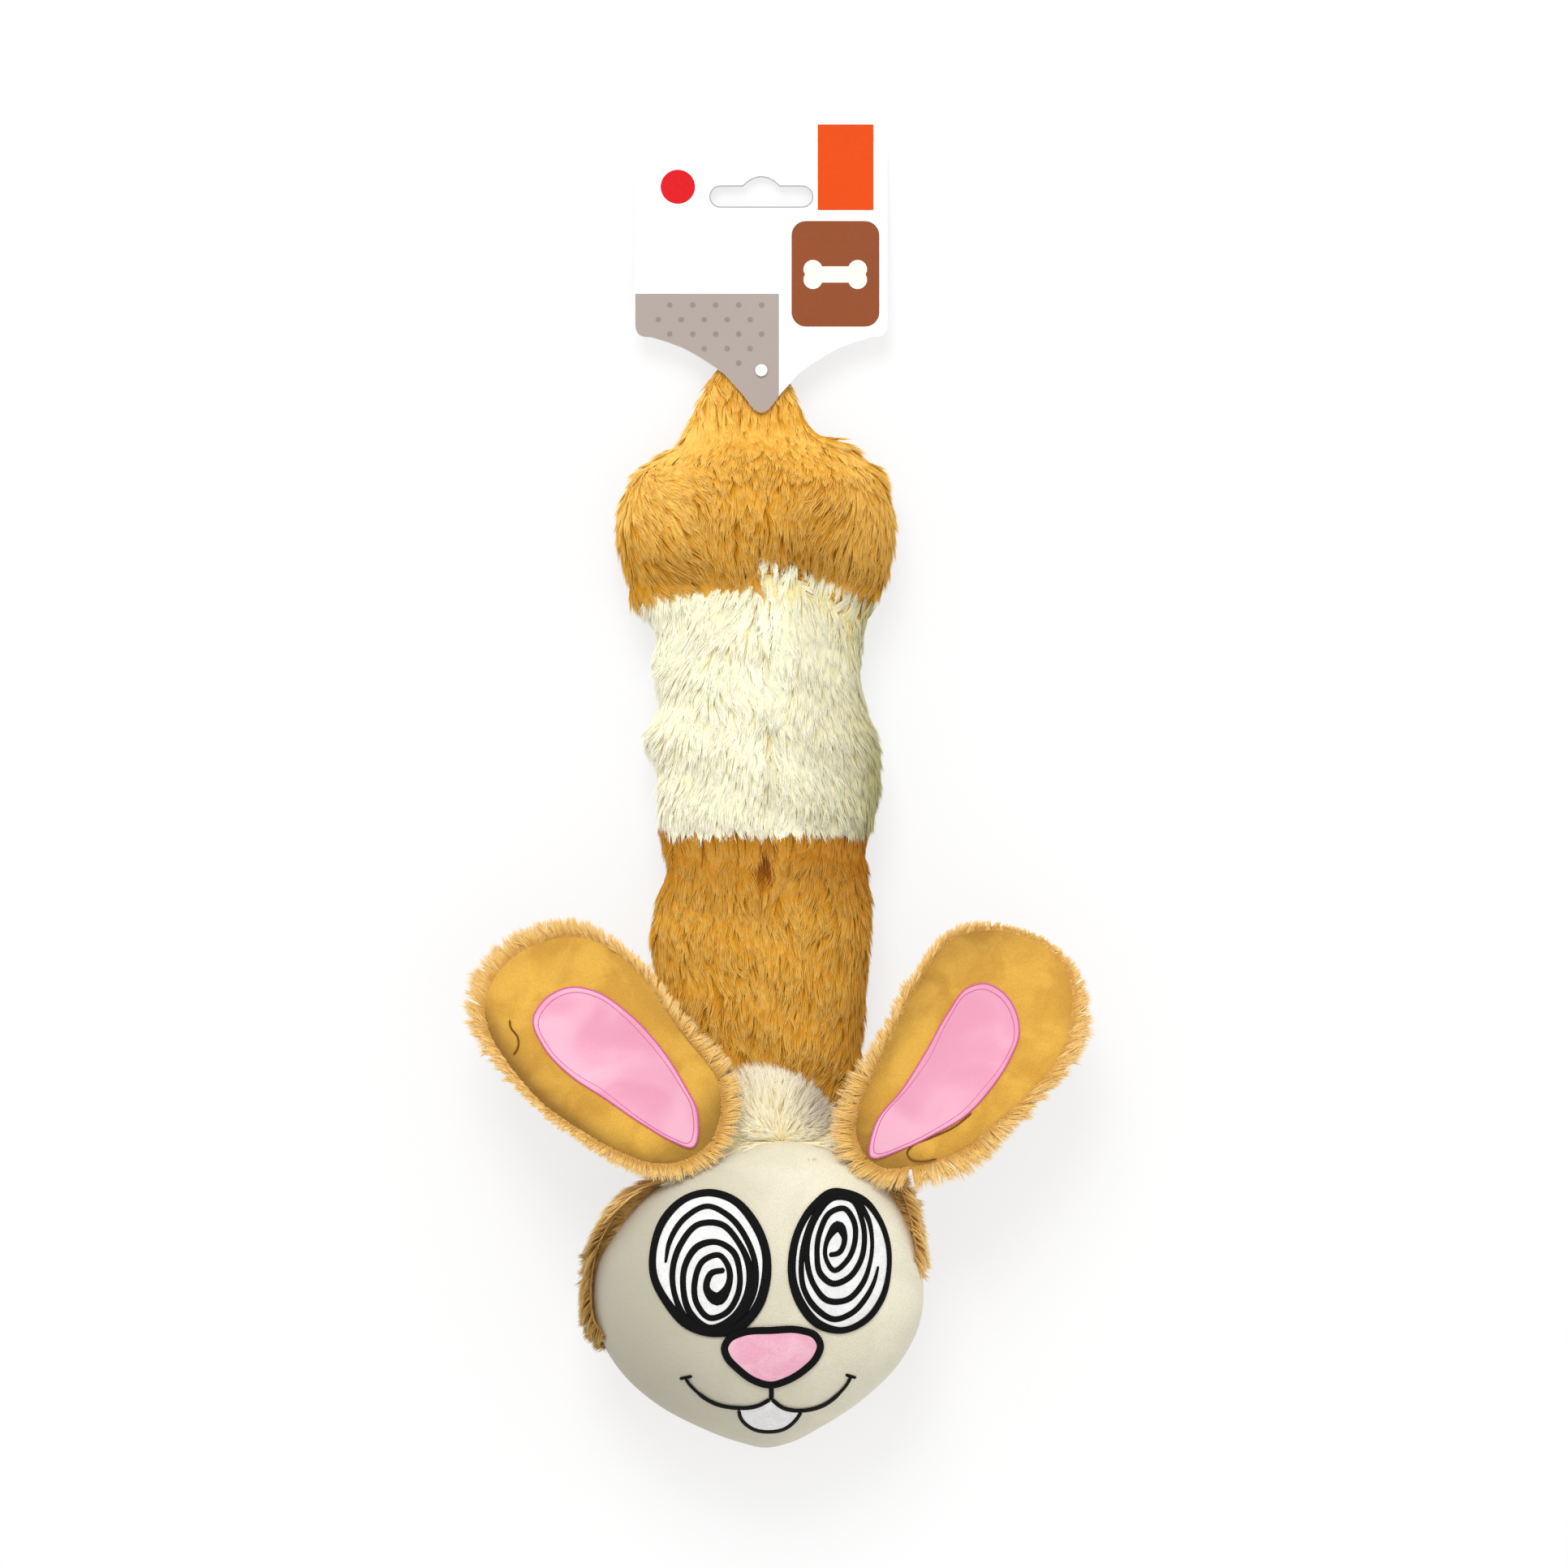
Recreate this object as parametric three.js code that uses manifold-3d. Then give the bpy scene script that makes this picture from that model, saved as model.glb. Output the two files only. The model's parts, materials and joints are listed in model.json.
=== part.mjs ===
// A plush squeaky dog toy: a long rabbit lying on its belly, head at -Y, tail at +Y, face up.
// Units are millimetres, +Z is up, and the origin is the middle of the bounding box's bottom.
// Cloth pieces are drawn at the outside of their pile. Every cloth piece, wad of stuffing and
// squeaker part is a mesh of its own, with a named clearance to what it touches.
import * as THREE from "three";
import { mergeVertices } from "three/addons/utils/BufferGeometryUtils.js";
import Module from "manifold-3d";

const wasm = await Module();
wasm.setup();

// Cloth, clearances and the height of the hinge lines above the floor
const clearance = 0.35;
const jointClearance = 0.6;
const pileThickness = 6;
const velourThickness = 1.8;
const satinThickness = 0.6;
const hingeHeight = 18;
const floorCut = 0.5;

// The trunk: three bands of plush, sewn end to end
const frontLength = 85.7;
const middleLength = 82.8;
const haunchLength = 43;
const seamHalfHeight = 16.5;
const bandHalfHeight = 22;
const frontHalfWidth = 35.5;
const frontEndHalfWidth = 33;
const middleHalfWidth = 37;
const middleEndHalfWidth = 34;
const haunchHalfWidth = 44.2;
const haunchSeamHalfWidth = 40;
const haunchHalfHeight = 26;
const bandBend = 35;

// The tail: a flat tongue of plush that carries the tag pin
const tailLength = 30;
const tailRootHalfWidth = 26;
const tailTipHalfWidth = 8;
const tailLean = 4.2;
const tailRootThickness = 12;
const tailTipThickness = 6;
const tailRootRise = 9.2;
const tailTipRise = 6.5;

// The head: its widest station is the cheek line, and its equator is the seam round the face
const headHalfWidth = 51.3;
const chinLength = 47;
const browLength = 52;
const headSetback = 5;
const equatorHeight = 36;
const chinHeight = 26;
const crownHeight = 26;
const fringeReach = 3.5;
const headPile = 7;
const nodUp = 8;
const nodDown = 35;

// The features that are sewn on the face
const patchThickness = 0.7;
const strokeWidth = 1.7;
const eyeHalfLength = 22.7;
const leftEyeHalfWidth = 18.8;
const rightEyeHalfWidth = 16.3;
const leftEyeX = -16;
const rightEyeX = 24.4;
const eyeSetback = 44.5;
const noseX = 3.4;
const noseHalfWidth = 16.6;
const noseTopSetback = 65;
const noseLength = 19;
const philtrumLength = 5;
const smileHalfWidth = 25.6;
const smileRise = 7.6;
const smileSag = 3;
const toothHalfWidth = 10.2;
const toothLength = 7.2;

// The forehead tuft
const tuftX = 7;
const tuftHalfWidth = 12;
const tuftLength = 28;
const tuftThickness = 9;
const tuftHeight = 46.5;

// The ears: one pattern, cut twice, with a plush back, a velour front and a satin inner
const earLength = 86;
const earHalfWidth = 27;
const earFringe = 4;
const earPile = 5;
const earCup = 4;
const earDroop = 16;
const earSeat = 9.5;
const earLift = 60;
const earDrop = 5;
const satinLength = 68;
const satinHalfWidth = 13.2;
const satinOffset = 1.5;
const leftEarRoot = new THREE.Vector2(-20, -8);
const rightEarRoot = new THREE.Vector2(38, -14);
const leftEarHeading = 136;
const rightEarHeading = 50;

// The squeaker in the head: a hollow bulb with a reed in a plug
const bulbRadius = 19;
const bulbHeight = 25;
const bulbWall = 1.2;
const bulbBottom = 21;
const plugRadius = 6;
const plugLength = 10;
const plugFlange = 8.5;
const plugFlangeThickness = 1.2;
const plugBore = 3.4;
const reedThickness = 0.5;
const reedHalfWidth = 2;
const reedLength = 8;

// The tag pin and the header card
const pinSetback = 7.6;
const filamentRadius = 0.5;
const pinHeadRadius = 1.9;
const pinHeadThickness = 0.7;
const pinBarRadius = 0.6;
const pinBarLength = 8;
const cardThickness = 0.6;
const cardHoleRadius = 1.3;
const cardHalfWidth = 39.5;
const cardTop = 72.4;
const cardShoulder = 10;
const cardTip = 13.5;
const cardCorner = 3;
const tabRise = 5.8;
const tabLeft = 17.5;
const tabRight = 35.3;
const slotHalfWidth = 16;
const slotRadius = 3.2;
const slotRise = 55.3;
const slotBump = 3;
const slotBumpHalfWidth = 5.8;

// Places along the toy, from the neck hinge at zero
const neckY = 0;
const frontSeamY = neckY + frontLength;
const rearSeamY = frontSeamY + middleLength;
const haunchEndY = rearSeamY + haunchLength;
const tailEndY = haunchEndY + tailLength;
const pinY = tailEndY - pinSetback;
const browY = neckY - headSetback;
const cheekY = browY - browLength;
const chinY = cheekY - chinLength;
const bellyDrop = hingeHeight + floorCut - seamHalfHeight;
const earHingeHeight = equatorHeight + earSeat;

// Colours and finishes
const tanPlush = { color: 0xcb8f2c, roughness: 0.95, metalness: 0 };
const creamPlush = { color: 0xf3ecd2, roughness: 0.95, metalness: 0 };
const creamVelour = { color: 0xefe8cf, roughness: 0.9, metalness: 0 };
const tanVelour = { color: 0xd9a036, roughness: 0.9, metalness: 0 };
const pinkSatin = { color: 0xf2a9c4, roughness: 0.55, metalness: 0 };
const fibreWadding = { color: 0xf7f6f2, roughness: 1, metalness: 0 };
const whiteFelt = { color: 0xf6f4ee, roughness: 0.9, metalness: 0 };
const blackStitch = { color: 0x111010, roughness: 0.7, metalness: 0 };
const bulbPlastic = { color: 0xe9edf0, roughness: 0.35, metalness: 0 };
const reedPlastic = { color: 0xf5f2e6, roughness: 0.3, metalness: 0 };
const coatedBoard = { color: 0xf7f6f4, roughness: 0.5, metalness: 0 };
const pinNylon = { color: 0xfafafa, roughness: 0.3, metalness: 0 };

const toy = new THREE.Group();
const { lerp: mix, clamp } = THREE.MathUtils;

// Turns a closed geometry into a solid that can be joined and cut.
function solidOf(geometry) {
  const bare = geometry.clone();
  for (const name of Object.keys(bare.attributes)) {
    if (name !== "position") bare.deleteAttribute(name);
  }
  const merged = mergeVertices(bare, 1e-4);
  return new wasm.Manifold(
    new wasm.Mesh({
      numProp: 3,
      vertProperties: merged.attributes.position.array,
      triVerts: new Uint32Array(merged.index.array),
    }),
  );
}

// Turns a solid back into a geometry.
function geometryOf(solid) {
  const { vertProperties, triVerts, numProp } = solid.getMesh();
  const count = vertProperties.length / numProp;
  const positions = new Float32Array(count * 3);
  for (let i = 0; i < count; i++) {
    positions.set(vertProperties.subarray(i * numProp, i * numProp + 3), i * 3);
  }
  const geometry = new THREE.BufferGeometry();
  geometry.setAttribute("position", new THREE.BufferAttribute(positions, 3));
  geometry.setIndex(new THREE.BufferAttribute(new Uint32Array(triVerts), 1));
  return geometry;
}

function addPiece(name, solid, finish, parent = toy) {
  const geometry = geometryOf(solid);
  geometry.computeVertexNormals();
  const mesh = new THREE.Mesh(geometry, new THREE.MeshStandardMaterial(finish));
  mesh.name = name;
  parent.add(mesh);
}

// Skins a row of rings, each with as many points, and closes both ends with a fan.
function loft(rings) {
  const size = rings[0].length;
  const corners = rings.flat();
  const ends = [rings[0], rings[rings.length - 1]].map((ring) =>
    ring.reduce((sum, p) => sum.add(p), new THREE.Vector3()).divideScalar(size),
  );
  const faces = [];
  for (let k = 0; k + 1 < rings.length; k++) {
    for (let i = 0; i < size; i++) {
      const [a, b] = [k * size + i, k * size + ((i + 1) % size)];
      faces.push(a, a + size, b, b, a + size, b + size);
    }
  }
  const [first, last] = [corners.length, corners.length + 1];
  const lastRing = (rings.length - 1) * size;
  for (let i = 0; i < size; i++) {
    const next = (i + 1) % size;
    faces.push(first, i, next, last, lastRing + next, lastRing + i);
  }
  const geometry = new THREE.BufferGeometry();
  geometry.setFromPoints([...corners, ...ends]);
  geometry.setIndex(faces);
  return geometry;
}

const power = (value, exponent) => Math.sign(value) * Math.abs(value) ** exponent;
const swell = (share) => Math.sin(Math.PI * clamp(share, 0, 1)) ** 0.6;

function spread(from, to, steps) {
  return Array.from({ length: steps + 1 }, (_, i) => mix(from, to, i / steps));
}

// A pillow-shaped ring across Y, whose upper and lower halves have their own heights.
function pillowRing(y, section, points = 20, from = 0, to = 2 * Math.PI) {
  const { centre = 0, half, middle, up, down, fullness = 2.4 } = section;
  const closed = to - from > 1.5 * Math.PI;
  const steps = closed ? points : points - 1;
  return Array.from({ length: points }, (_, i) => {
    const angle = from + ((to - from) * i) / steps;
    const height = Math.sin(angle) > 0 ? up : down;
    return new THREE.Vector3(
      centre + half * power(Math.cos(angle), 2 / fullness),
      y,
      middle + height * power(Math.sin(angle), 2 / fullness),
    );
  });
}

// Boxes that keep one side of a plane. Their reach is longer than the whole toy.
const reach = 2 * (tailEndY + cardTop - chinY);
const lowCorner = new THREE.Vector3(-reach, -reach, -reach);
const highCorner = new THREE.Vector3(reach, reach, reach);

function boxBetween(low, high) {
  const size = new THREE.Vector3().subVectors(high, low);
  const centre = new THREE.Vector3().addVectors(low, high).multiplyScalar(0.5);
  const box = new THREE.BoxGeometry(size.x, size.y, size.z);
  return solidOf(box.translate(centre.x, centre.y, centre.z));
}

const leftOf = (x) => boxBetween(lowCorner, highCorner.clone().setX(x));
const rightOf = (x) => boxBetween(lowCorner.clone().setX(x), highCorner);
const before = (y) => boxBetween(lowCorner, highCorner.clone().setY(y));
const beyond = (y) => boxBetween(lowCorner.clone().setY(y), highCorner);
const aboveFloor = boxBetween(lowCorner.clone().setZ(0), highCorner);
const aboveChin = boxBetween(lowCorner.clone().setZ(chinHeight), highCorner);

// A round barrel across the toy at a hinge line. The convex end of a band fills it.
function barrel(y, radius) {
  const cylinder = new THREE.CylinderGeometry(radius, radius, reach, 24);
  return solidOf(cylinder.rotateZ(Math.PI / 2).translate(0, y, hingeHeight));
}

// Turns a solid about the hinge line at y, as the joint there does.
function swing(solid, y, degrees) {
  return solid.translate([0, -y, -hingeHeight]).rotate([degrees, 0, 0]).translate([0, y, hingeHeight]);
}

function frontSection(y) {
  const share = (y - neckY) / frontLength;
  return {
    half: mix(frontEndHalfWidth, frontHalfWidth, swell(share)),
    middle: hingeHeight,
    up: mix(seamHalfHeight, bandHalfHeight, swell(share)),
    down: seamHalfHeight + bellyDrop * swell(share),
  };
}

function middleSection(y) {
  const share = (y - frontSeamY) / middleLength;
  return {
    half: mix(middleEndHalfWidth, middleHalfWidth, swell(share)),
    middle: hingeHeight,
    up: mix(seamHalfHeight, bandHalfHeight, swell(share)),
    down: seamHalfHeight + bellyDrop * swell(share),
  };
}

// The haunch spreads from its seam into a hip and closes round at its end.
const hipShare = 0.35;

function haunchSection(y) {
  const share = clamp((y - rearSeamY) / haunchLength, 0, 0.995);
  const hip = Math.sin((Math.PI / 2) * clamp(share / hipShare, 0, 1));
  const sideClosing = (1 - share ** 6) ** (1 / 2.2);
  const heightClosing = (1 - share ** 5) ** (1 / 2);
  return {
    half: mix(haunchSeamHalfWidth, haunchHalfWidth, hip) * sideClosing,
    middle: hingeHeight,
    up: mix(seamHalfHeight, haunchHalfHeight, hip) * heightClosing,
    down: (seamHalfHeight + bellyDrop * hip) * heightClosing,
  };
}

// The same section, drawn in by the given amount all round.
function drawnIn(section, amount) {
  return {
    ...section,
    half: Math.max(section.half - amount, clearance),
    up: Math.max(section.up - amount, clearance),
    down: Math.max(section.down - amount, clearance),
  };
}

function bandSolid(sectionAt, from, to, steps, inset) {
  const rings = spread(from, to, steps).map((y) => pillowRing(y, drawnIn(sectionAt(y), inset)));
  return solidOf(loft(rings));
}

// The three bands as solids, drawn in by an inset. Two of them run on into the barrels at their ends.
function frontBand(inset) {
  return bandSolid(frontSection, neckY - seamHalfHeight, frontSeamY + seamHalfHeight, 10, inset);
}

function middleBand(inset) {
  return bandSolid(middleSection, frontSeamY, rearSeamY, 8, inset);
}

function haunchBand(inset) {
  const end = haunchEndY - Math.max(inset, 0);
  return bandSolid(haunchSection, rearSeamY - seamHalfHeight, end, 12, inset);
}

// A convex end keeps its barrel. A concave end makes room for the neighbour's barrel, and for the
// neighbour itself at both limits of the bend.
const frontKeep = beyond(neckY)
  .intersect(before(frontSeamY))
  .add(barrel(neckY, seamHalfHeight))
  .add(barrel(frontSeamY, seamHalfHeight));
const rearKeep = beyond(rearSeamY).add(barrel(rearSeamY, seamHalfHeight));
const frontEnvelope = frontBand(-jointClearance).intersect(beyond(neckY)).intersect(before(frontSeamY));
const rearEnvelope = haunchBand(-jointClearance).intersect(beyond(rearSeamY));

function trimMiddle(solid) {
  return solid
    .subtract(barrel(frontSeamY, seamHalfHeight + jointClearance))
    .subtract(barrel(rearSeamY, seamHalfHeight + jointClearance))
    .subtract(swing(frontEnvelope, frontSeamY, bandBend))
    .subtract(swing(frontEnvelope, frontSeamY, -bandBend))
    .subtract(swing(rearEnvelope, rearSeamY, bandBend))
    .subtract(swing(rearEnvelope, rearSeamY, -bandBend));
}

// Cuts a cloth shell along the centre seam into its left and right panels.
function addPanels(name, shell, finish) {
  const standing = shell.intersect(aboveFloor);
  addPiece(`${name}_left`, standing.intersect(leftOf(-clearance / 2)), finish);
  addPiece(`${name}_right`, standing.intersect(rightOf(clearance / 2)), finish);
}

function addFront() {
  const skin = frontBand(0).subtract(frontBand(pileThickness));
  addPanels("front_skin", skin.intersect(frontKeep), tanPlush);
  addPiece("front_stuffing", frontBand(pileThickness + clearance).intersect(frontKeep), fibreWadding);
}

function addMiddle() {
  const skin = middleBand(0).subtract(middleBand(pileThickness));
  addPanels("middle_skin", trimMiddle(skin), creamPlush);
  addPiece("middle_stuffing", trimMiddle(middleBand(pileThickness + clearance)), fibreWadding);
}

// The tail starts inside the haunch, thins towards its tip and leans a little to the left.
const tailRootY = haunchEndY - haunchLength / 4;
const tailTipRoundShare = 0.15;

function tailSection(y) {
  const share = (y - tailRootY) / (tailEndY - tailRootY);
  const pastRound = clamp((share - 1 + tailTipRoundShare) / tailTipRoundShare, 0, 0.99);
  const rounding = Math.sqrt(1 - pastRound ** 2);
  const thickness = mix(tailRootThickness, tailTipThickness, share) * mix(0.4, 1, rounding);
  return {
    centre: -tailLean * share,
    half: mix(tailRootHalfWidth, tailTipHalfWidth, share) * mix(0.5, 1, rounding),
    middle: mix(tailRootRise, tailTipRise, share),
    up: thickness / 2,
    down: thickness / 2,
  };
}

// The card lies on the tail at the pin and comes down to the floor at its far end.
const tailAtPin = tailSection(pinY);
const cardRise = tailAtPin.middle + tailAtPin.up + 2 * clearance;
const cardTilt = Math.asin((cardRise - clearance) / (cardTop + tabRise));
const tag = new THREE.Group();
tag.position.set(0, pinY, cardRise);
tag.rotation.x = -cardTilt;
toy.add(tag);
tag.updateMatrixWorld(true);

// An upright cylinder in the card's frame, from one height to another.
function post(radius, bottom, top, sides) {
  const cylinder = new THREE.CylinderGeometry(radius, radius, top - bottom, sides);
  return cylinder.rotateX(Math.PI / 2).translate(0, 0, (top + bottom) / 2);
}

function addRear() {
  const bore = post(filamentRadius + clearance, -2 * cardRise, 2 * cardRise, 12);
  const pinBore = solidOf(bore.applyMatrix4(tag.matrixWorld));
  const rings = spread(tailRootY, tailEndY, 8).map((y) => pillowRing(y, tailSection(y), 14));
  const tail = solidOf(loft(rings));
  const skin = haunchBand(0).add(tail).subtract(haunchBand(pileThickness));
  addPanels("rear_skin", skin.intersect(rearKeep).subtract(pinBore), tanPlush);
  addPiece("rear_stuffing", haunchBand(pileThickness + clearance).intersect(rearKeep), fibreWadding);
}

// Tag pin: a flat head over the card, a filament through the tail and a cross bar under it.
function addTagPin() {
  const headBottom = cardThickness + clearance;
  const tailDepth = cardRise - tailAtPin.middle + tailAtPin.down;
  const barTop = -(tailDepth + clearance + pinBarRadius * Math.sin(cardTilt)) / Math.cos(cardTilt);
  const barCentre = barTop - pinBarRadius;
  const bar = new THREE.CylinderGeometry(pinBarRadius, pinBarRadius, pinBarLength, 10);
  const pin = solidOf(post(pinHeadRadius, headBottom, headBottom + pinHeadThickness, 20))
    .add(solidOf(post(filamentRadius, barCentre, headBottom + pinHeadThickness / 2, 10)))
    .add(solidOf(bar.rotateZ(Math.PI / 2).translate(0, 0, barCentre)));
  addPiece("tag_pin", pin, pinNylon, tag);
}

// Half of the card's lower edge, from the tip to the side: a share across and a share up for each.
const tipRoundShares = [[0.08, 0], [0.2, 0.2]];
const lowerEdgeShares = [[0.38, 0.6], [0.6, 0.92]];
const cornerShare = 1.6;

function cardOutline() {
  const shape = new THREE.Shape();
  const corner = cornerShare * cardCorner;
  const at = ([across, up], side) => [side * cardHalfWidth * across, mix(-cardTip, cardShoulder, up)];
  shape.moveTo(0, -cardTip);
  shape.quadraticCurveTo(...at(tipRoundShares[0], 1), ...at(tipRoundShares[1], 1));
  shape.bezierCurveTo(
    ...at(lowerEdgeShares[0], 1),
    ...at(lowerEdgeShares[1], 1),
    cardHalfWidth - corner,
    cardShoulder,
  );
  shape.quadraticCurveTo(cardHalfWidth, cardShoulder, cardHalfWidth, cardShoulder + corner);
  shape.lineTo(cardHalfWidth, cardTop - corner);
  shape.quadraticCurveTo(cardHalfWidth, cardTop, cardHalfWidth - corner, cardTop);
  shape.lineTo(tabRight, cardTop);
  shape.lineTo(tabRight, cardTop + tabRise);
  shape.lineTo(tabLeft, cardTop + tabRise);
  shape.lineTo(tabLeft, cardTop);
  shape.lineTo(corner - cardHalfWidth, cardTop);
  shape.quadraticCurveTo(-cardHalfWidth, cardTop, -cardHalfWidth, cardTop - corner);
  shape.lineTo(-cardHalfWidth, cardShoulder + corner);
  shape.quadraticCurveTo(-cardHalfWidth, cardShoulder, corner - cardHalfWidth, cardShoulder);
  shape.bezierCurveTo(
    ...at(lowerEdgeShares[1], -1),
    ...at(lowerEdgeShares[0], -1),
    ...at(tipRoundShares[1], -1),
  );
  shape.quadraticCurveTo(...at(tipRoundShares[0], -1), 0, -cardTip);
  return shape;
}

// The hanging slot: a long round-ended slot with a low bump in the middle of its upper edge.
function slotOutline() {
  const slot = new THREE.Path();
  const inner = slotHalfWidth - slotRadius;
  const top = slotRise + slotRadius;
  slot.moveTo(-inner, slotRise - slotRadius);
  slot.lineTo(inner, slotRise - slotRadius);
  slot.absarc(inner, slotRise, slotRadius, -Math.PI / 2, Math.PI / 2);
  slot.lineTo(slotBumpHalfWidth, top);
  slot.quadraticCurveTo(0, top + 2 * slotBump, -slotBumpHalfWidth, top);
  slot.lineTo(-inner, top);
  slot.absarc(-inner, slotRise, slotRadius, Math.PI / 2, 1.5 * Math.PI);
  return slot;
}

function addCard() {
  const shape = cardOutline();
  const hole = new THREE.Path();
  hole.absarc(0, 0, cardHoleRadius, 0, 2 * Math.PI);
  shape.holes.push(slotOutline(), hole);
  const settings = { depth: cardThickness, bevelEnabled: false, curveSegments: 6 };
  addPiece("header_card", solidOf(new THREE.ExtrudeGeometry(shape, settings)), coatedBoard, tag);
}

// Head: the section at a station from the chin to the brow.
function headSection(y) {
  const onChin = y < cheekY;
  const share = onChin ? (y - chinY) / chinLength : (browY - y) / browLength;
  const closing = 1 - (1 - clamp(share, 0.004, 1)) ** 2;
  const middle = onChin ? mix(chinHeight, equatorHeight, closing) : equatorHeight;
  return {
    half: headHalfWidth * closing ** (1 / (onChin ? 1.4 : 1.9)),
    middle,
    up: crownHeight * Math.sqrt(closing),
    down: (middle + floorCut) * Math.sqrt(closing),
    fullness: 2.2,
  };
}

// The head above or below its equator, drawn in by the inset, with its flat side moved by a lift.
// Stations are closer together near the chin and the brow, where the head closes.
function headHalf(upper, inset, lift = 0) {
  const [from, to] = [chinY + Math.max(inset, 0), browY - Math.max(inset, 0)];
  const arc = upper ? [0, Math.PI] : [Math.PI, 2 * Math.PI];
  const rings = spread(0, Math.PI, 12).map((angle) => {
    const y = mix(from, to, (1 - Math.cos(angle)) / 2);
    const ring = pillowRing(y, drawnIn(headSection(y), inset), 15, ...arc);
    ring[0].z += lift;
    ring[ring.length - 1].z += lift;
    return ring;
  });
  return solidOf(loft(rings));
}

function trimNeck(solid) {
  return solid
    .subtract(barrel(neckY, seamHalfHeight + jointClearance))
    .subtract(swing(frontEnvelope, neckY, nodUp))
    .subtract(swing(frontEnvelope, neckY, -nodDown))
    .subtract(frontEnvelope);
}

function addHead() {
  const pocketBottom = bulbBottom - clearance;
  const pocketTop = bulbBottom + bulbHeight + plugFlangeThickness + 2 * clearance;
  const pocketPost = post(bulbRadius + clearance, pocketBottom, pocketTop, 20);
  const pocket = solidOf(pocketPost.translate(0, cheekY, 0));
  const face = headHalf(true, 0).subtract(headHalf(true, velourThickness, -clearance));
  addPiece("face_panel", trimNeck(face), creamVelour);
  const back = headHalf(false, -fringeReach).subtract(headHalf(false, headPile - fringeReach, clearance));
  addPanels("head_back", trimNeck(back.translate([0, 0, -clearance])), tanPlush);
  const frontWad = headHalf(true, velourThickness + clearance).subtract(pocket);
  addPiece("head_stuffing_front", trimNeck(frontWad), fibreWadding);
  const backWad = headHalf(false, headPile - fringeReach + clearance).translate([0, 0, -clearance]);
  addPiece("head_stuffing_back", trimNeck(backWad.subtract(pocket)).intersect(aboveFloor), fibreWadding);
}

// A thin patch over the face cloth, with the plan outline of a shape.
function facePatch(shape) {
  const prism = new THREE.ExtrudeGeometry(shape, { depth: reach, bevelEnabled: false, curveSegments: 10 });
  const layer = headHalf(true, -(clearance + patchThickness)).subtract(headHalf(true, -clearance));
  return layer.intersect(solidOf(prism)).intersect(aboveChin);
}

// A line of even width along a plan curve.
function stroke(curve, width, steps = 8) {
  const along = curve.getPoints(steps);
  const side = (sign) =>
    along.map((point, i) => {
      const tangent = curve.getTangent(i / steps);
      return new THREE.Vector2(-tangent.y, tangent.x).multiplyScalar((sign * width) / 2).add(point);
    });
  return new THREE.Shape([...side(-1), ...side(1).reverse()]);
}

function ellipse(x, y, halfWidth, halfLength) {
  return new THREE.Shape().absellipse(x, y, halfWidth, halfLength, 0, 2 * Math.PI);
}

// The nose is a triangle with a broad rounded top, and the smile hangs from its lower corner.
const noseTopY = neckY - noseTopSetback;
const noseTipY = noseTopY - noseLength;
const noseShoulderShare = 0.35;
const noseCornerShare = 0.8;

function noseOutline() {
  const shape = new THREE.Shape();
  const shoulderY = mix(noseTopY, noseTipY, noseShoulderShare);
  shape.moveTo(noseX, noseTipY);
  const [left, right] = [noseX - noseHalfWidth, noseX + noseHalfWidth];
  shape.quadraticCurveTo(mix(noseX, right, noseCornerShare), noseTipY, right, shoulderY);
  shape.quadraticCurveTo(right, noseTopY, noseX, noseTopY);
  shape.quadraticCurveTo(left, noseTopY, left, shoulderY);
  shape.quadraticCurveTo(mix(noseX, left, noseCornerShare), noseTipY, noseX, noseTipY);
  return shape;
}

function smileStrokes(width) {
  const top = new THREE.Vector2(noseX, noseTipY - clearance);
  const parting = new THREE.Vector2(noseX, noseTipY - philtrumLength);
  const strokes = [stroke(new THREE.LineCurve(top, parting), width, 1)];
  for (const side of [-1, 1]) {
    const corner = new THREE.Vector2(noseX + side * smileHalfWidth, parting.y + smileRise);
    const lowest = new THREE.Vector2(noseX + (side * smileHalfWidth) / 2, parting.y - 2 * smileSag);
    strokes.push(stroke(new THREE.QuadraticBezierCurve(parting, lowest, corner), width));
  }
  return strokes.map((shape) => facePatch(shape)).reduce((all, one) => all.add(one));
}

function addFaceFeatures() {
  const eyeY = neckY - eyeSetback;
  addPiece("eye_left", facePatch(ellipse(leftEyeX, eyeY, leftEyeHalfWidth, eyeHalfLength)), whiteFelt);
  addPiece("eye_right", facePatch(ellipse(rightEyeX, eyeY, rightEyeHalfWidth, eyeHalfLength)), whiteFelt);
  addPiece("nose", facePatch(noseOutline()), pinkSatin);
  addPiece("mouth", smileStrokes(strokeWidth), blackStitch);
  const toothTopY = noseTipY - philtrumLength - strokeWidth / 2;
  const tooth = facePatch(ellipse(noseX, toothTopY, toothHalfWidth, toothLength));
  const underMouth = before(toothTopY - smileSag);
  const mouth = smileStrokes(strokeWidth + 2 * clearance);
  addPiece("teeth", tooth.intersect(underMouth).subtract(mouth), whiteFelt);
}

// The tuft springs from the brow and lies back over the neck.
function addTuft() {
  const rootY = neckY - headSetback - tuftThickness;
  const rings = spread(0, 1, 7).map((share) => {
    const taper = Math.sqrt(1 - clamp(share, 0, 0.98) ** 3);
    return pillowRing(mix(rootY, rootY + tuftLength + headSetback, share), {
      centre: tuftX,
      half: tuftHalfWidth * taper,
      middle: tuftHeight,
      up: (tuftThickness / 2) * taper,
      down: (tuftThickness / 2) * taper,
    }, 12);
  });
  addPiece("forehead_tuft", solidOf(loft(rings)).subtract(headHalf(true, -clearance)), creamPlush);
}

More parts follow.
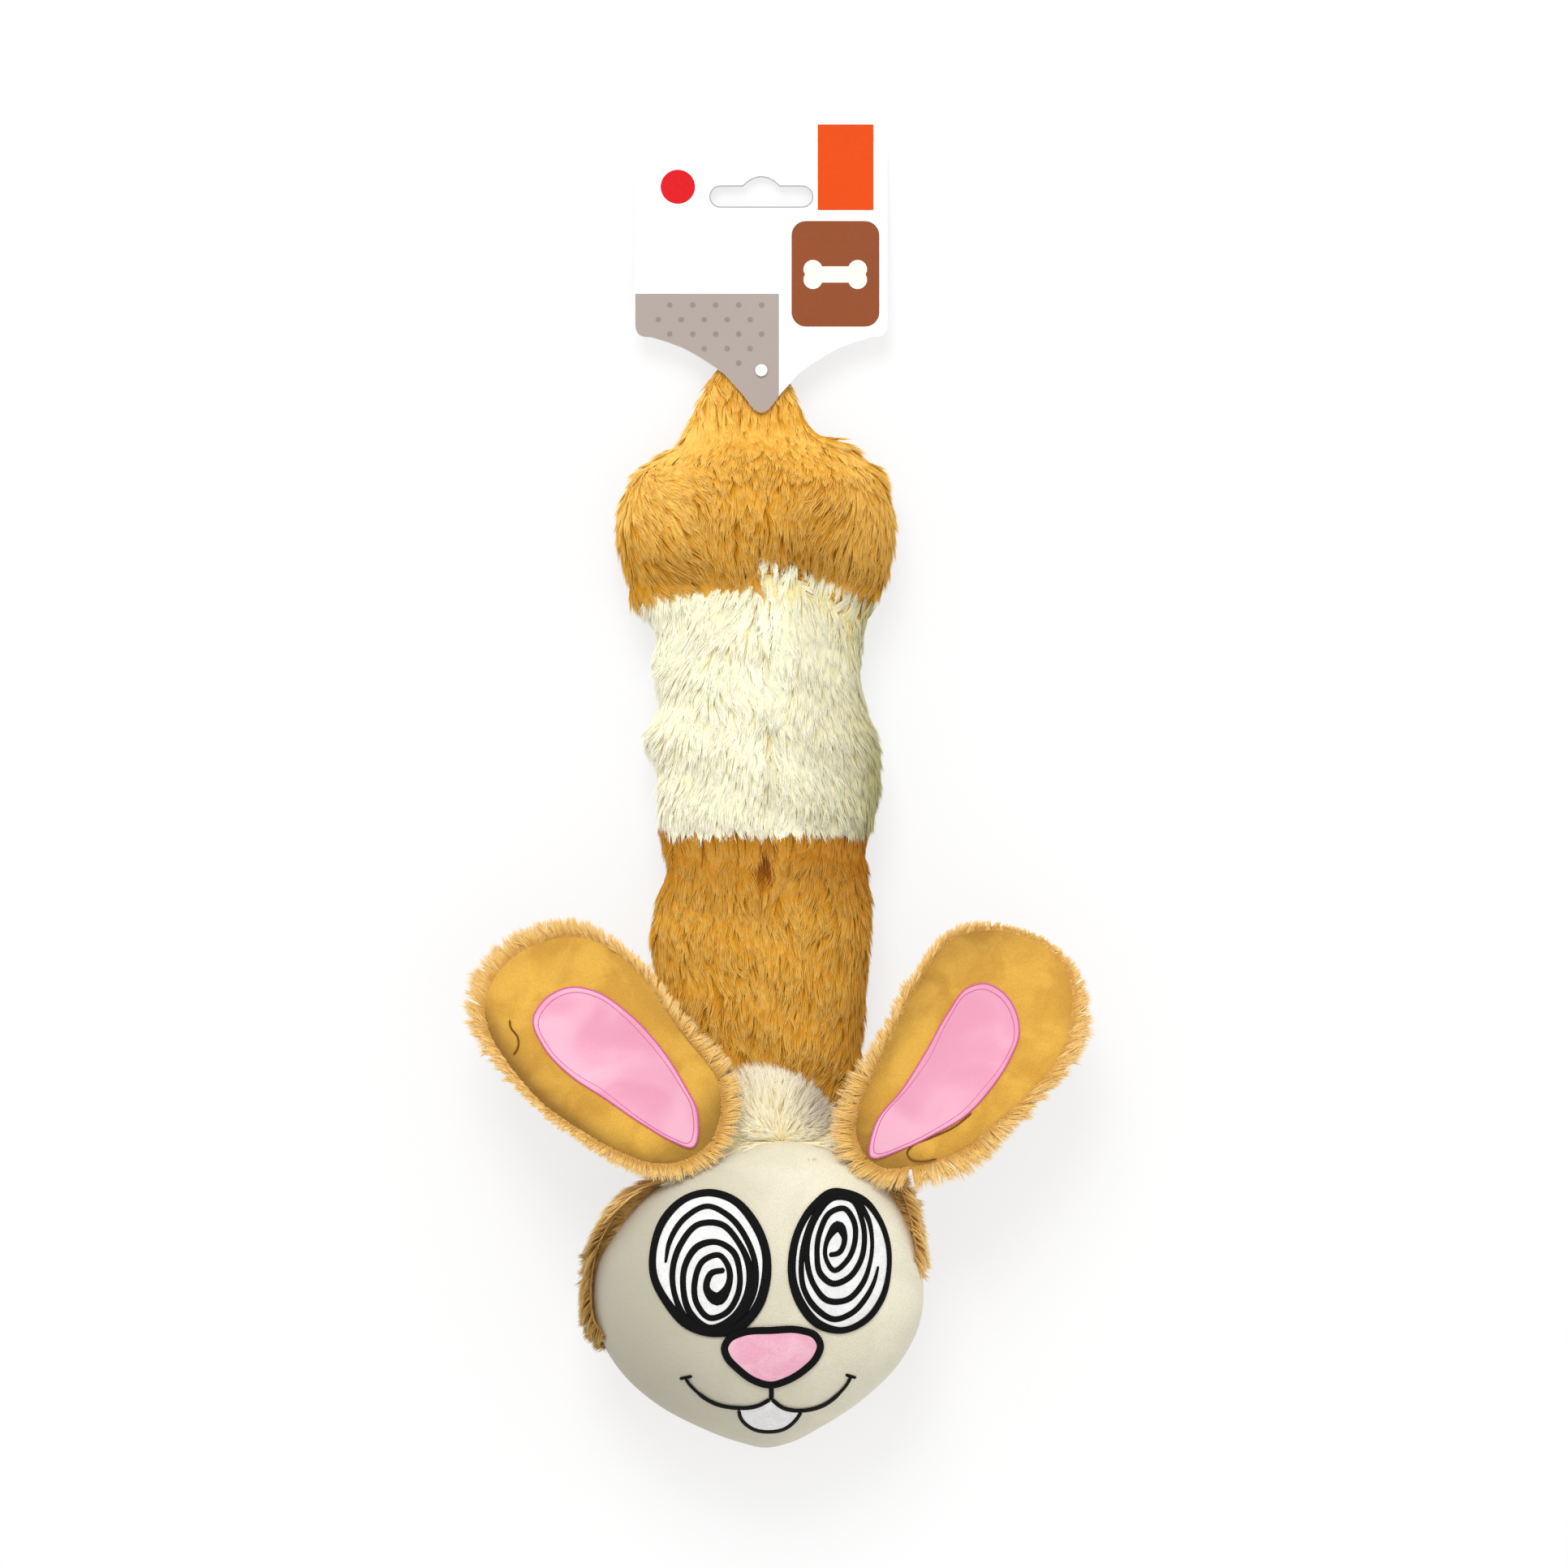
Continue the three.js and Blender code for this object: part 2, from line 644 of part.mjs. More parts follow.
// Outlines from root to tip: how far along, and the half width there, both as shares.
const earOutlineShares = [
  [0, 0.56], [0.12, 0.72], [0.3, 0.86], [0.55, 0.98], [0.74, 0.98], [0.88, 0.78], [0.97, 0.4], [1, 0.06],
];
const satinOutlineShares = [
  [0, 0.05], [0.1, 0.4], [0.24, 0.7], [0.48, 0.92], [0.7, 1], [0.88, 0.82], [0.97, 0.44], [1, 0.06],
];
const satinStartShare = 0.03;

// One layer of an ear. Its rings follow the outline across a sheet that is cupped and droops.
function earLayer({ start = 0, length, half, offset = 0, shares, bottom, thickness }) {
  const outline = new THREE.SplineCurve(shares.map((pair) => new THREE.Vector2(...pair)));
  const rings = outline.getPoints(11).map((point) => {
    const along = start + length * point.x;
    const section = {
      centre: offset,
      half: half * point.y,
      middle: bottom + thickness / 2 - earDroop * (along / earLength) ** 2,
      up: thickness / 2,
      down: thickness / 2,
      fullness: 4,
    };
    return pillowRing(along, section, 16).map((p) => p.setZ(p.z + earCup * (p.x / earHalfWidth) ** 2));
  });
  return solidOf(loft(rings).rotateZ(-Math.PI / 2));
}

// Turns a solid about an ear's hinge line. A positive angle lifts the ear's tip.
function lift(solid, root, heading, degrees) {
  return solid
    .translate([-root.x, -root.y, -earHingeHeight])
    .rotate([0, 0, -heading])
    .rotate([0, -degrees, 0])
    .rotate([0, 0, heading])
    .translate([root.x, root.y, earHingeHeight]);
}

function addEar(name, root, heading, inward) {
  const head = headHalf(true, -jointClearance);
  const angles = [-earDrop, ...spread(0, earLift, 4)];
  const addLayer = (layerName, finish, layer) => {
    const placed = earLayer(layer).rotate([0, 0, heading]).translate([root.x, root.y, earHingeHeight]);
    const headAt = (angle) => lift(head, root, heading, -angle);
    const cleared = angles.reduce((solid, angle) => solid.subtract(headAt(angle)), placed);
    addPiece(`${name}_${layerName}`, cleared, finish);
  };
  const underside = -(earPile + clearance + velourThickness) / 2;
  addLayer("back", tanPlush, {
    length: earLength + earFringe,
    half: earHalfWidth + earFringe,
    shares: earOutlineShares,
    bottom: underside,
    thickness: earPile,
  });
  addLayer("front", tanVelour, {
    length: earLength,
    half: earHalfWidth,
    shares: earOutlineShares,
    bottom: underside + earPile + clearance,
    thickness: velourThickness,
  });
  addLayer("inner", pinkSatin, {
    start: earLength * satinStartShare,
    length: satinLength,
    half: satinHalfWidth,
    offset: inward * satinOffset,
    shares: satinOutlineShares,
    bottom: -underside + 2 * clearance,
    thickness: satinThickness,
  });
}

// Squeaker: an open-necked bulb, and a plug in its neck with a reed across the bore.
const bulbFullness = 0.7;

function addSqueaker() {
  const half = bulbHeight / 2;
  const place = (solid) => solid.translate([0, cheekY, bulbBottom]);
  const shell = (inset) => {
    const profile = spread(-Math.PI / 2, Math.PI / 2, 8).map((angle) => {
      const radius = (bulbRadius - inset) * power(Math.cos(angle), bulbFullness);
      return new THREE.Vector2(radius, half + (half - inset) * Math.sin(angle));
    });
    return solidOf(new THREE.LatheGeometry(profile, 20).rotateX(Math.PI / 2));
  };
  const mouth = solidOf(post(plugRadius + clearance, half, 2 * bulbHeight, 16));
  addPiece("squeaker_bulb", place(shell(0).subtract(shell(bulbWall)).subtract(mouth)), bulbPlastic);
  const flangeBottom = bulbHeight + clearance;
  const plug = solidOf(post(plugRadius, flangeBottom - plugLength, flangeBottom, 16))
    .add(solidOf(post(plugFlange, flangeBottom, flangeBottom + plugFlangeThickness, 16)))
    .subtract(solidOf(post(plugBore, 0, 2 * bulbHeight, 12)));
  addPiece("squeaker_plug", place(plug), bulbPlastic);
  const reedTop = flangeBottom - clearance;
  const reed = boxBetween(
    new THREE.Vector3(-reedHalfWidth, -reedThickness / 2, reedTop - reedLength),
    new THREE.Vector3(reedHalfWidth, reedThickness / 2, reedTop),
  );
  addPiece("squeaker_reed", place(reed), reedPlastic);
}

addFront();
addMiddle();
addRear();
addTagPin();
addCard();
addHead();
addFaceFeatures();
addTuft();
addEar("ear_left", leftEarRoot, leftEarHeading, 1);
addEar("ear_right", rightEarRoot, rightEarHeading, -1);
addSqueaker();

// The bounding box's bottom centre becomes the origin.
toy.updateMatrixWorld(true);
const bounds = new THREE.Box3().setFromObject(toy, true);
const middleOfBox = bounds.getCenter(new THREE.Vector3());
toy.position.set(-middleOfBox.x, -middleOfBox.y, -bounds.min.z);

export default toy;
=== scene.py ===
import json
import math

import bmesh
import bpy
import numpy as np
from mathutils import Matrix, Vector, noise
from mathutils.kdtree import KDTree


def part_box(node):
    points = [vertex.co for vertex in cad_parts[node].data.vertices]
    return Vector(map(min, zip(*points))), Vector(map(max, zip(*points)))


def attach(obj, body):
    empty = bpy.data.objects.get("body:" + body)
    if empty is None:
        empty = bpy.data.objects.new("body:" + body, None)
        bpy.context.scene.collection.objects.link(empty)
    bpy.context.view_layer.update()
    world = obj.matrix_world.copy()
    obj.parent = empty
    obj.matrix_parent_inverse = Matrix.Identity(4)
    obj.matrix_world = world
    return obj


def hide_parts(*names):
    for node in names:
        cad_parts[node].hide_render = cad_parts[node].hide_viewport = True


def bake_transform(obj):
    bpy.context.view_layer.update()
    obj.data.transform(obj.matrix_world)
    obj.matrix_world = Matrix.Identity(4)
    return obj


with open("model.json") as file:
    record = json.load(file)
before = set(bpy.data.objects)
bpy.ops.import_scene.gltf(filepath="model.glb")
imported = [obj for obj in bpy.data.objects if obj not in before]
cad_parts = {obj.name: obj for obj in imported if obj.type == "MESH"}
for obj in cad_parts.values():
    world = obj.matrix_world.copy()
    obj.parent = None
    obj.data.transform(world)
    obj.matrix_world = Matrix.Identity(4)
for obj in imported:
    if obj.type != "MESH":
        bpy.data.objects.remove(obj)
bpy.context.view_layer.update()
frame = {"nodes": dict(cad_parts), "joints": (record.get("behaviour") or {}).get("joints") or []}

# Places are in the toy's own millimetres: x across, y from the neck to the tail, z up from the floor.
TURN = 2 * math.pi
MM = 0.001
joints = {joint["name"]: joint for joint in frame["joints"]}
neck = Vector(joints["neck_nod"]["pos_m"])
TO_FRAME = Matrix.Translation((neck.x, neck.y, 0)) @ Matrix.Scale(MM, 4)

# The body: bands, seams and tail
NECK_END = -10
NECK_SPLIT = 43
FRONT_SEAM = 85.7
MIDDLE_SPLIT = 127
REAR_SEAM = 168.5
TAIL_END = 241.3
SECTION_FULLNESS = 2.4
PILE_SIDE = 2.4
PILE_TOP = 3.3
PILE_UNDER = 2.2
BACKING = 1.0
SEAM_OVERLAP = 0.005

# The head
HEAD_MIDDLE = (0.0, -55.0)
CHEEK_LINE = -57
CHIN_LINE = -104
EQUATOR = 36
CHIN_EQUATOR = 26
CROWN = 26
DOME_FULLNESS = 2.15
VELOUR = 1.8
BACK_FULLNESS = 2.3
EYE_CLOTH = 0.4
NOSE_CLOTH = 0.7
NOSE_RIM = 0.93
TOOTH_CLOTH = 0.35
CLOTH_GAP = 0.12

# The header card: its joint, its own directions and its two faces, in the shared frame
CARD_JOINT = Vector(joints["card_swivel"]["pos_m"])
CARD_OUT = Vector(joints["card_swivel"]["axis"]).normalized()
CARD_ACROSS = Vector((1, 0, 0))
CARD_UP = CARD_OUT.cross(CARD_ACROSS)
card_levels = [(v.co - CARD_JOINT).dot(CARD_OUT) for v in frame["nodes"]["header_card"].data.vertices]
CARD_UNDERSIDE = min(card_levels) / MM
CARD_PIN = CARD_JOINT + CARD_OUT * max(card_levels)
CARD_TIP = 14
CARD_CLEARANCE = 0.5

# The ears
EAR_HINGE = 45.5
EAR_LENGTH = 86
EAR_HALF_WIDTH = 27
EAR_DROOP = 16
EAR_CUP = 4
EAR_MIDDLE = (44.0, 0.0)
EAR_VELOUR = 1.9
EAR_VELOUR_LEVEL = 1.7
EAR_FACE = 3.7
LEAF_MIDDLE = (36.0, 0.0)

# The wadding
WADDING_INSET = 3.4
WADDING_LOW = 6.0
HEAD_WADDING_INSET = 7
FACE_INSET = 4.5
SQUEAKER_GAP = 1.5


def in_frame(x, y, z):
    """A place in the toy's millimetres as a point of the shared frame."""
    return TO_FRAME @ Vector((x, y, z))


def smooth_rows(rows, keep_level=True):
    """Value at any place between measured rows, with no corner at a row."""
    places, values = np.array(rows, float).T
    slopes = np.gradient(values, places)
    if keep_level:
        level = np.diff(values) == 0
        slopes[:-1][level] = 0
        slopes[1:][level] = 0

    def value(place):
        place = np.clip(place, places[0], places[-1])
        row = np.clip(np.searchsorted(places, place, side="right") - 1, 0, len(places) - 2)
        gap = places[row + 1] - places[row]
        t = (place - places[row]) / gap
        start, end = values[row], values[row + 1]
        return (
            start * (2 * t**3 - 3 * t**2 + 1)
            + slopes[row] * gap * (t**3 - 2 * t**2 + t)
            + end * (3 * t**2 - 2 * t**3)
            + slopes[row + 1] * gap * (t**3 - t**2)
        )

    return value


def outline_round(points, middle):
    """How far a measured outline lies from its middle, in any direction."""
    away = np.array(points, float) - middle
    turns = np.arctan2(away[:, 1], away[:, 0])
    order = np.argsort(turns)
    turns, reach = turns[order], np.hypot(*away.T)[order]
    rows = np.c_[
        np.r_[turns[-2:] - TURN, turns, turns[:2] + TURN],
        np.r_[reach[-2:], reach, reach[:2]],
    ]
    around = smooth_rows(rows)
    return lambda turn: around((np.asarray(turn) + math.pi) % TURN - math.pi)


def closed_curve(points):
    """A closed outline through measured points, from 0 to 1 on its way round."""
    points = np.array(points, float)
    points = np.r_[points[-3:], points, points[:3]]
    run = np.r_[0, np.cumsum(np.hypot(*np.diff(points[:, :2], axis=0).T))]
    ways = [smooth_rows(np.c_[run, column], False) for column in points.T]

    def spot(turn):
        place = mix(run[3], run[-3], np.asarray(turn) % 1)
        return np.stack([way(place) for way in ways], axis=-1)

    return spot


def power(value, share):
    """A signed power, for rounded sections."""
    return np.sign(value) * np.abs(value) ** share


def mix(a, b, share):
    return a + (b - a) * share


def smooth_step(low, high, value):
    t = np.clip((value - low) / (high - low), 0, 1)
    return t * t * (3 - 2 * t)


def hill(value, middle, width):
    return np.exp(-(((value - middle) / width) ** 2))


def lumps(points, scale, seed=0.0):
    """Gentle unevenness from -1 to 1 at each point."""
    shift = Vector((seed, seed * 0.7, seed * 1.3))
    return np.array([noise.noise(Vector(point) * scale + shift) for point in points])


def warped_grid(across, along, place, keep_map="OFBake"):
    """A grid whose points are moved to a surface, its meeting edges closed."""
    form = bmesh.new()
    bmesh.ops.create_grid(form, x_segments=across, y_segments=along, size=0.5)
    shares = np.array([vert.co[:2] for vert in form.verts])
    shares = (shares - shares.min(0)) / (shares.max(0) - shares.min(0))
    if keep_map:
        layer = form.loops.layers.uv.new(keep_map)
        for face in form.faces:
            for loop in face.loops:
                loop[layer].uv = shares[loop.vert.index]
    spots = place(shares[:, 0], shares[:, 1])
    for vert, spot in zip(form.verts, spots):
        vert.co = spot
    bmesh.ops.remove_doubles(form, verts=form.verts, dist=0.004)
    bmesh.ops.recalc_face_normals(form, faces=form.faces)
    return form


def pillow(top, bottom, around, rings, keep_map=None):
    """A closed form with a top and an underside that meet at its rim."""

    def place(turn, fold):
        share = 1 - np.abs(2 * fold - 1)
        return np.where((fold <= 0.5)[:, None], top(turn, share), bottom(turn, share))

    return warped_grid(around, 2 * rings, place, keep_map)


def stack(x, y, z):
    x, y, z = np.broadcast_arrays(x, y, z)
    return np.stack((x, y, z), axis=-1).astype(float)


def mesh_of(name, form):
    """A form as a mesh. The form itself is used up."""
    mesh = bpy.data.meshes.new(name)
    form.to_mesh(mesh)
    form.free()
    return mesh


def shown(name, mesh, material):
    """An object that shows a mesh in one material."""
    mesh.materials.clear()
    mesh.materials.append(material)
    made = bpy.data.objects.new(name, mesh)
    bpy.context.scene.collection.objects.link(made)
    return made


def piece(name, form, material, smooth=True):
    """A finished form as an object, its place in its mesh."""
    if isinstance(form, bpy.types.Mesh):
        form.transform(TO_FRAME)
    else:
        bmesh.ops.transform(form, matrix=TO_FRAME, verts=form.verts)
        form = mesh_of(name, form)
    form.polygons.foreach_set("use_smooth", [smooth] * len(form.polygons))
    return shown(name, form, material)


def fit_piece(made, node=None, body="head"):
    """Puts a piece under the empty of the body that it rides on, and hides the node that it stands for."""
    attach(made, body)
    if node:
        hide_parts(node)


# Materials


def paint(code):
    """A colour written as six hex digits, as linear light."""
    shares = [int(code[i : i + 2], 16) / 255 for i in (0, 2, 4)]
    linear = [s / 12.92 if s <= 0.04045 else ((s + 0.055) / 1.055) ** 2.4 for s in shares]
    return (*linear, 1)


def put(tree, kind, inputs=None, **settings):
    """Adds a node, sets its values, and links each input that another node feeds."""
    made = tree.nodes.new(kind)
    for key, value in settings.items():
        setattr(made, key, value)
    for key, value in (inputs or {}).items():
        if isinstance(value, bpy.types.NodeSocket):
            tree.links.new(value, made.inputs[key])
        else:
            made.inputs[key].default_value = value
    return made


def group(name, inputs, outputs):
    """An empty shader group with named inputs and outputs."""
    tree = bpy.data.node_groups.new(name, "ShaderNodeTree")
    for label, kind in inputs.items():
        tree.interface.new_socket(label, in_out="INPUT", socket_type="NodeSocket" + kind)
    for label, kind in outputs.items():
        tree.interface.new_socket(label, in_out="OUTPUT", socket_type="NodeSocket" + kind)
    return tree, tree.nodes.new("NodeGroupInput"), tree.nodes.new("NodeGroupOutput")


def blend_colours(tree, share, a, b, how="MIX"):
    made = put(tree, "ShaderNodeMix", data_type="RGBA", blend_type=how)
    for socket, value in ((made.inputs[0], share), (made.inputs[6], a), (made.inputs[7], b)):
        if isinstance(value, bpy.types.NodeSocket):
            tree.links.new(value, socket)
        else:
            socket.default_value = value
    return made.outputs[2]


def remap(tree, value, low, high, to_low=0.0, to_high=1.0, smooth=True):
    ends = {"Value": value, "From Min": low, "From Max": high, "To Min": to_low, "To Max": to_high}
    kind = "SMOOTHSTEP" if smooth else "LINEAR"
    return put(tree, "ShaderNodeMapRange", ends, interpolation_type=kind).outputs["Result"]


def mottling(tree, place, scale, detail, distortion=0.0):
    """A cloudy pattern from 0 to 1."""
    values = {"Vector": place, "Scale": scale, "Detail": detail, "Distortion": distortion}
    return put(tree, "ShaderNodeTexNoise", values).outputs["Fac"]


def own_place(tree):
    return put(tree, "ShaderNodeTexCoord").outputs["Object"]


def dimmed(tree, colour, cloud, darkest):
    """A colour that a cloudy pattern darkens a little."""
    shade = remap(tree, cloud, 0.3, 0.7, darkest, 1.0)
    grey = put(tree, "ShaderNodeCombineColor", {"Red": shade, "Green": shade, "Blue": shade})
    return blend_colours(tree, 1.0, colour, grey.outputs["Color"], "MULTIPLY")


def pile_tone_group():
    """Colour of one strand of pile from its root to its tip, with its tint and its painted shade."""
    inputs = dict.fromkeys(("Along", "Tint", "Shade"), "Float")
    inputs |= dict.fromkeys(("Root", "Body", "Tip", "Shade Tone"), "Color")
    tree, given, result = group("pile_tone", inputs, {"Colour": "Color"})
    along, tint, shade, root, body, tip, shade_tone = (given.outputs[label] for label in inputs)
    strand = blend_colours(tree, remap(tree, along, 0.0, 0.55), root, body)
    strand = blend_colours(tree, remap(tree, along, 0.45, 1.0), strand, tip)
    # High tints lean to the tip colour: randomly paler locks, and the painted light that the rear coat's
    # rule adds.
    strand = blend_colours(tree, remap(tree, tint, 0.5, 1.4, 0.0, 0.85), strand, tip)
    strand = blend_colours(tree, remap(tree, tint, 0.0, 0.5, 0.28, 0.0), strand, root)
    # Painted shade: the strand is multiplied towards its shade tone as far as its pile_shade value says.
    strand = blend_colours(tree, shade, strand, shade_tone, "MULTIPLY")
    tree.links.new(strand, result.inputs["Colour"])
    return tree


def cloth_grain_group():
    """Fine short pile or weave: a mottled mask and a height."""
    inputs = {"Place": "Vector", "Fine": "Float", "Broad": "Float"}
    tree, given, result = group("cloth_grain", inputs, {"Mottle": "Float", "Height": "Float"})
    place = given.outputs["Place"]
    fine = mottling(tree, place, given.outputs["Fine"], 3.0)
    broad = mottling(tree, place, given.outputs["Broad"], 4.0, 0.6)
    height = put(tree, "ShaderNodeMath", {0: fine, 1: broad}, operation="ADD")
    tree.links.new(remap(tree, broad, 0.36, 0.66), result.inputs["Mottle"])
    tree.links.new(height.outputs[0], result.inputs["Height"])
    return tree


PILE_TONE = pile_tone_group()
CLOTH_GRAIN = cloth_grain_group()


def finish_of(name, roughness, specular, sheen=0.0):
    """A material with its shader's plain values set."""
    material = bpy.data.materials.new(name)
    material.use_nodes = True
    tree = material.node_tree
    shader = tree.nodes["Principled BSDF"]
    shader.inputs["Roughness"].default_value = roughness
    shader.inputs["Specular IOR Level"].default_value = specular
    shader.inputs["Sheen Weight"].default_value = sheen
    shader.inputs["Sheen Roughness"].default_value = 0.6
    return material, tree, shader


def cover(tree, shader, colour, height, depth, rough=None):
    """Gives a shader its colour, its relief and, where it varies, its roughness."""
    tree.links.new(colour, shader.inputs["Base Color"])
    if rough is not None:
        tree.links.new(rough, shader.inputs["Roughness"])
    relief = put(tree, "ShaderNodeBump", {"Height": height, "Distance": depth, "Strength": 1.0})
    tree.links.new(relief.outputs["Normal"], shader.inputs["Normal"])


def pile_material(name, root, body, tip, shade_tone, sheen=0.45):
    """Combed pile, whose strands carry their own place, tint and painted shade."""
    material, tree, shader = finish_of(name, 0.85, 0.1, sheen)
    shader.inputs["Sheen Tint"].default_value = paint(tip)
    inputs = {"Root": paint(root), "Body": paint(body), "Tip": paint(tip), "Shade Tone": paint(shade_tone)}
    for label in ("along", "tint", "shade"):
        read = put(tree, "ShaderNodeAttribute", attribute_name="pile_" + label)
        inputs[label.title()] = read.outputs["Fac"]
    tone = put(tree, "ShaderNodeGroup", inputs, node_tree=PILE_TONE)
    tree.links.new(tone.outputs["Colour"], shader.inputs["Base Color"])
    return material


def cloth_material(name, light, dark, fine, broad, depth, roughness=0.8, sheen=0.25, painted_shade_slope=None, painted_shade_tone=None):
    """Woven or short-pile cloth, mottled, with painted shade where it is given: along a direction across
    the piece, or from the piece's cloth_shade attribute.
    """
    material, tree, shader = finish_of(name, roughness, 0.2, sheen)
    place = own_place(tree)
    inputs = {"Place": place, "Fine": fine, "Broad": broad}
    grain = put(tree, "ShaderNodeGroup", inputs, node_tree=CLOTH_GRAIN)
    colour = blend_colours(tree, grain.outputs["Mottle"], paint(dark), paint(light))
    colour = dimmed(tree, colour, mottling(tree, place, fine * 0.7, 2.0), 0.9)
    # Painted shade: the colour fades to a darker tone towards one end of a direction across the piece.
    if painted_shade_slope:
        way, dark_end, light_end, tone = painted_shade_slope
        lie = put(tree, "ShaderNodeVectorMath", {0: place, 1: way}, operation="DOT_PRODUCT")
        share = remap(tree, lie.outputs["Value"], dark_end, light_end)
        colour = blend_colours(tree, share, paint(tone), colour)
    # Painted shade: the colour is multiplied by a darker tone as far as the cloth_shade attribute says.
    if painted_shade_tone:
        share = put(tree, "ShaderNodeAttribute", attribute_name="cloth_shade").outputs["Fac"]
        colour = blend_colours(tree, share, colour, paint(painted_shade_tone), "MULTIPLY")
    cover(tree, shader, colour, grain.outputs["Height"], depth)
    return material


def thread_material(name, code, light):
    """Embroidery thread laid in close stitches across its line."""
    material, tree, shader = finish_of(name, 0.6, 0.08)
    lie = put(tree, "ShaderNodeUVMap", uv_map="stitch").outputs["UV"]
    inputs = {"Vector": lie, "Scale": 0.55, "Distortion": 0.6, "Detail": 1.0}
    stitches = put(tree, "ShaderNodeTexWave", inputs, bands_direction="Y").outputs["Fac"]
    colour = blend_colours(tree, stitches, paint(code), paint(light))
    cover(tree, shader, colour, stitches, 0.0002)
    return material


def satin_material():
    """Smooth pink satin with soft folds and a fine weave, painted paler on the folds' crests and darker in
    their hollows as painted light and shade.
    """
    material, tree, shader = finish_of("pink_satin", 0.42, 0.4, 0.2)
    place = own_place(tree)
    folds = mottling(tree, place, 38.0, 1.5, 0.8)
    weave = mottling(tree, place, 1800.0, 2.0)
    # Painted light and shade: the colour follows the folds, darker in their hollows.
    colour = blend_colours(tree, remap(tree, folds, 0.38, 0.62), paint("E295AF"), paint("EAABC0"))
    height = put(tree, "ShaderNodeMath", {0: weave, 1: 0.06, 2: folds}, operation="MULTIPLY_ADD")
    cover(tree, shader, colour, height.outputs[0], 0.0012)
    return material


def print_material(name, code, roughness=0.55):
    """Printed or plain coated card with a faint paper grain."""
    material, tree, shader = finish_of(name, roughness, 0.12)
    place = own_place(tree)
    grain = mottling(tree, place, 900.0, 4.0)
    colour = dimmed(tree, paint(code), mottling(tree, place, 30.0, 2.0), 0.96)
    rough = remap(tree, grain, 0.3, 0.7, roughness - 0.05, roughness + 0.08)
    cover(tree, shader, colour, grain, 0.00004, rough)
    return material


def plastic_material(name, code, dull, roughness, see_through=0.0):
    """Moulded plastic with a slight cloudiness and fine scuffs."""
    material, tree, shader = finish_of(name, roughness, 0.45)
    cloud = mottling(tree, own_place(tree), 140.0, 3.0)
    shader.inputs["Transmission Weight"].default_value = see_through
    colour = blend_colours(tree, cloud, paint(dull), paint(code))
    rough = remap(tree, cloud, 0.3, 0.7, roughness - 0.06, roughness + 0.1)
    cover(tree, shader, colour, cloud, 0.00005, rough)
    return material


# Each plush: root, body and tip colours, then the shade tone that its painted shade darkens towards.
TAN_PLUSH = pile_material("tan_plush", "C48416", "DE9E26", "FCD370", "A0701E", 0.3)
CREAM_PLUSH = pile_material("cream_plush", "F8EAAE", "FFFADC", "FFFEF0", "B9B48E")
EAR_PLUSH = pile_material("ear_plush", "CC9848", "F0C674", "FCDFA2", "9A8448")
TUFT_PLUSH = pile_material("tuft_plush", "F9E6AC", "FEF2CC", "FFFCEC", "BDB6B8")
# Painted shade on the face's velour: darker towards the left, and a little towards the bottom.
FACE_PAINTED_SHADE = ((1, 0.18, 0), -0.09, 0.0, "B2AC98")
CREAM_VELOUR = cloth_material("cream_velour", "F0E9D0", "E8E1C7", 2600.0, 60.0, 0.00022, painted_shade_slope=FACE_PAINTED_SHADE)
# The ears' velour takes painted shade from the cloth_shade attribute.
TAN_VELOUR = cloth_material("tan_velour", "E9B344", "D49C34", 2400.0, 75.0, 0.00028, painted_shade_tone="A8A288")
WHITE_CLOTH = cloth_material("white_cloth", "F4F3F1", "E9E8E6", 2000.0, 200.0, 0.0001, 0.6, 0.1)
PINK_CLOTH = cloth_material("pink_cloth", "F8C0D0", "F3B0C6", 2200.0, 150.0, 0.00012, 0.6, 0.1)
WADDING = cloth_material("wadding", "F4F3F0", "DAD8D2", 700.0, 120.0, 0.0016)
SATIN = satin_material()
BLACK_THREAD = thread_material("black_thread", "050505", "161616")
PINK_THREAD = thread_material("pink_thread", "D9509E", "EC86BE")
BROWN_THREAD = thread_material("brown_thread", "6B4518", "8A5C24")
CARD_WHITE = print_material("card_white", "FBFAF8")
CARD_GREY = print_material("card_grey", "A99E98")
CARD_DOT = print_material("card_dot", "92867E")
CARD_ORANGE = print_material("card_orange", "DC4803")
CARD_RED = print_material("card_red", "D4121C")
CARD_BROWN = print_material("card_brown", "8C4A28")
CARD_CREAM = print_material("card_cream", "F1EAE2")
CARD_LINE = print_material("card_line", "A9A9AC")
NYLON = plastic_material("pin_nylon", "F8F8F6", "EDEDEA", 0.32)
SQUEAKER = plastic_material("squeaker_plastic", "F1EDE2", "E4DECF", 0.4, 0.15)
REED = plastic_material("reed_plastic", "E94B3C", "D43E30", 0.35)


# Pile

FLATNESS = 0.45
STRAND_WIDTH = 0.5
FRINGE_WIDTH = 0.45
LOCK_LENGTH = 0.55
FLOOR_GAP = 0.15
BAND_PILE = 8.4
HEAD_PILE = 7.6
FRINGE_PILE = 5.6
EAR_PILE = 6.4


def strand_form():
    """One strand: a three-sided spike of height one, cut once on its way up."""
    form = bmesh.new()
    bmesh.ops.create_cone(form, cap_ends=True, segments=3, radius1=1.0, radius2=0.0, depth=1.0)
    everything = form.verts[:] + form.edges[:] + form.faces[:]
    bmesh.ops.bisect_plane(form, geom=everything, plane_co=(0, 0, 0), plane_no=(0, 0, 1))
    layer = form.loops.layers.uv.new("OFBake")
    for face in form.faces:
        for loop in face.loops:
            turn = math.atan2(loop.vert.co.y, loop.vert.co.x) / TURN + 0.5
            loop[layer].uv = (0.1 + 0.7 * turn, 0.1 + 0.8 * (loop.vert.co.z + 0.5))
    bmesh.ops.triangulate(form, faces=form.faces)
    return form


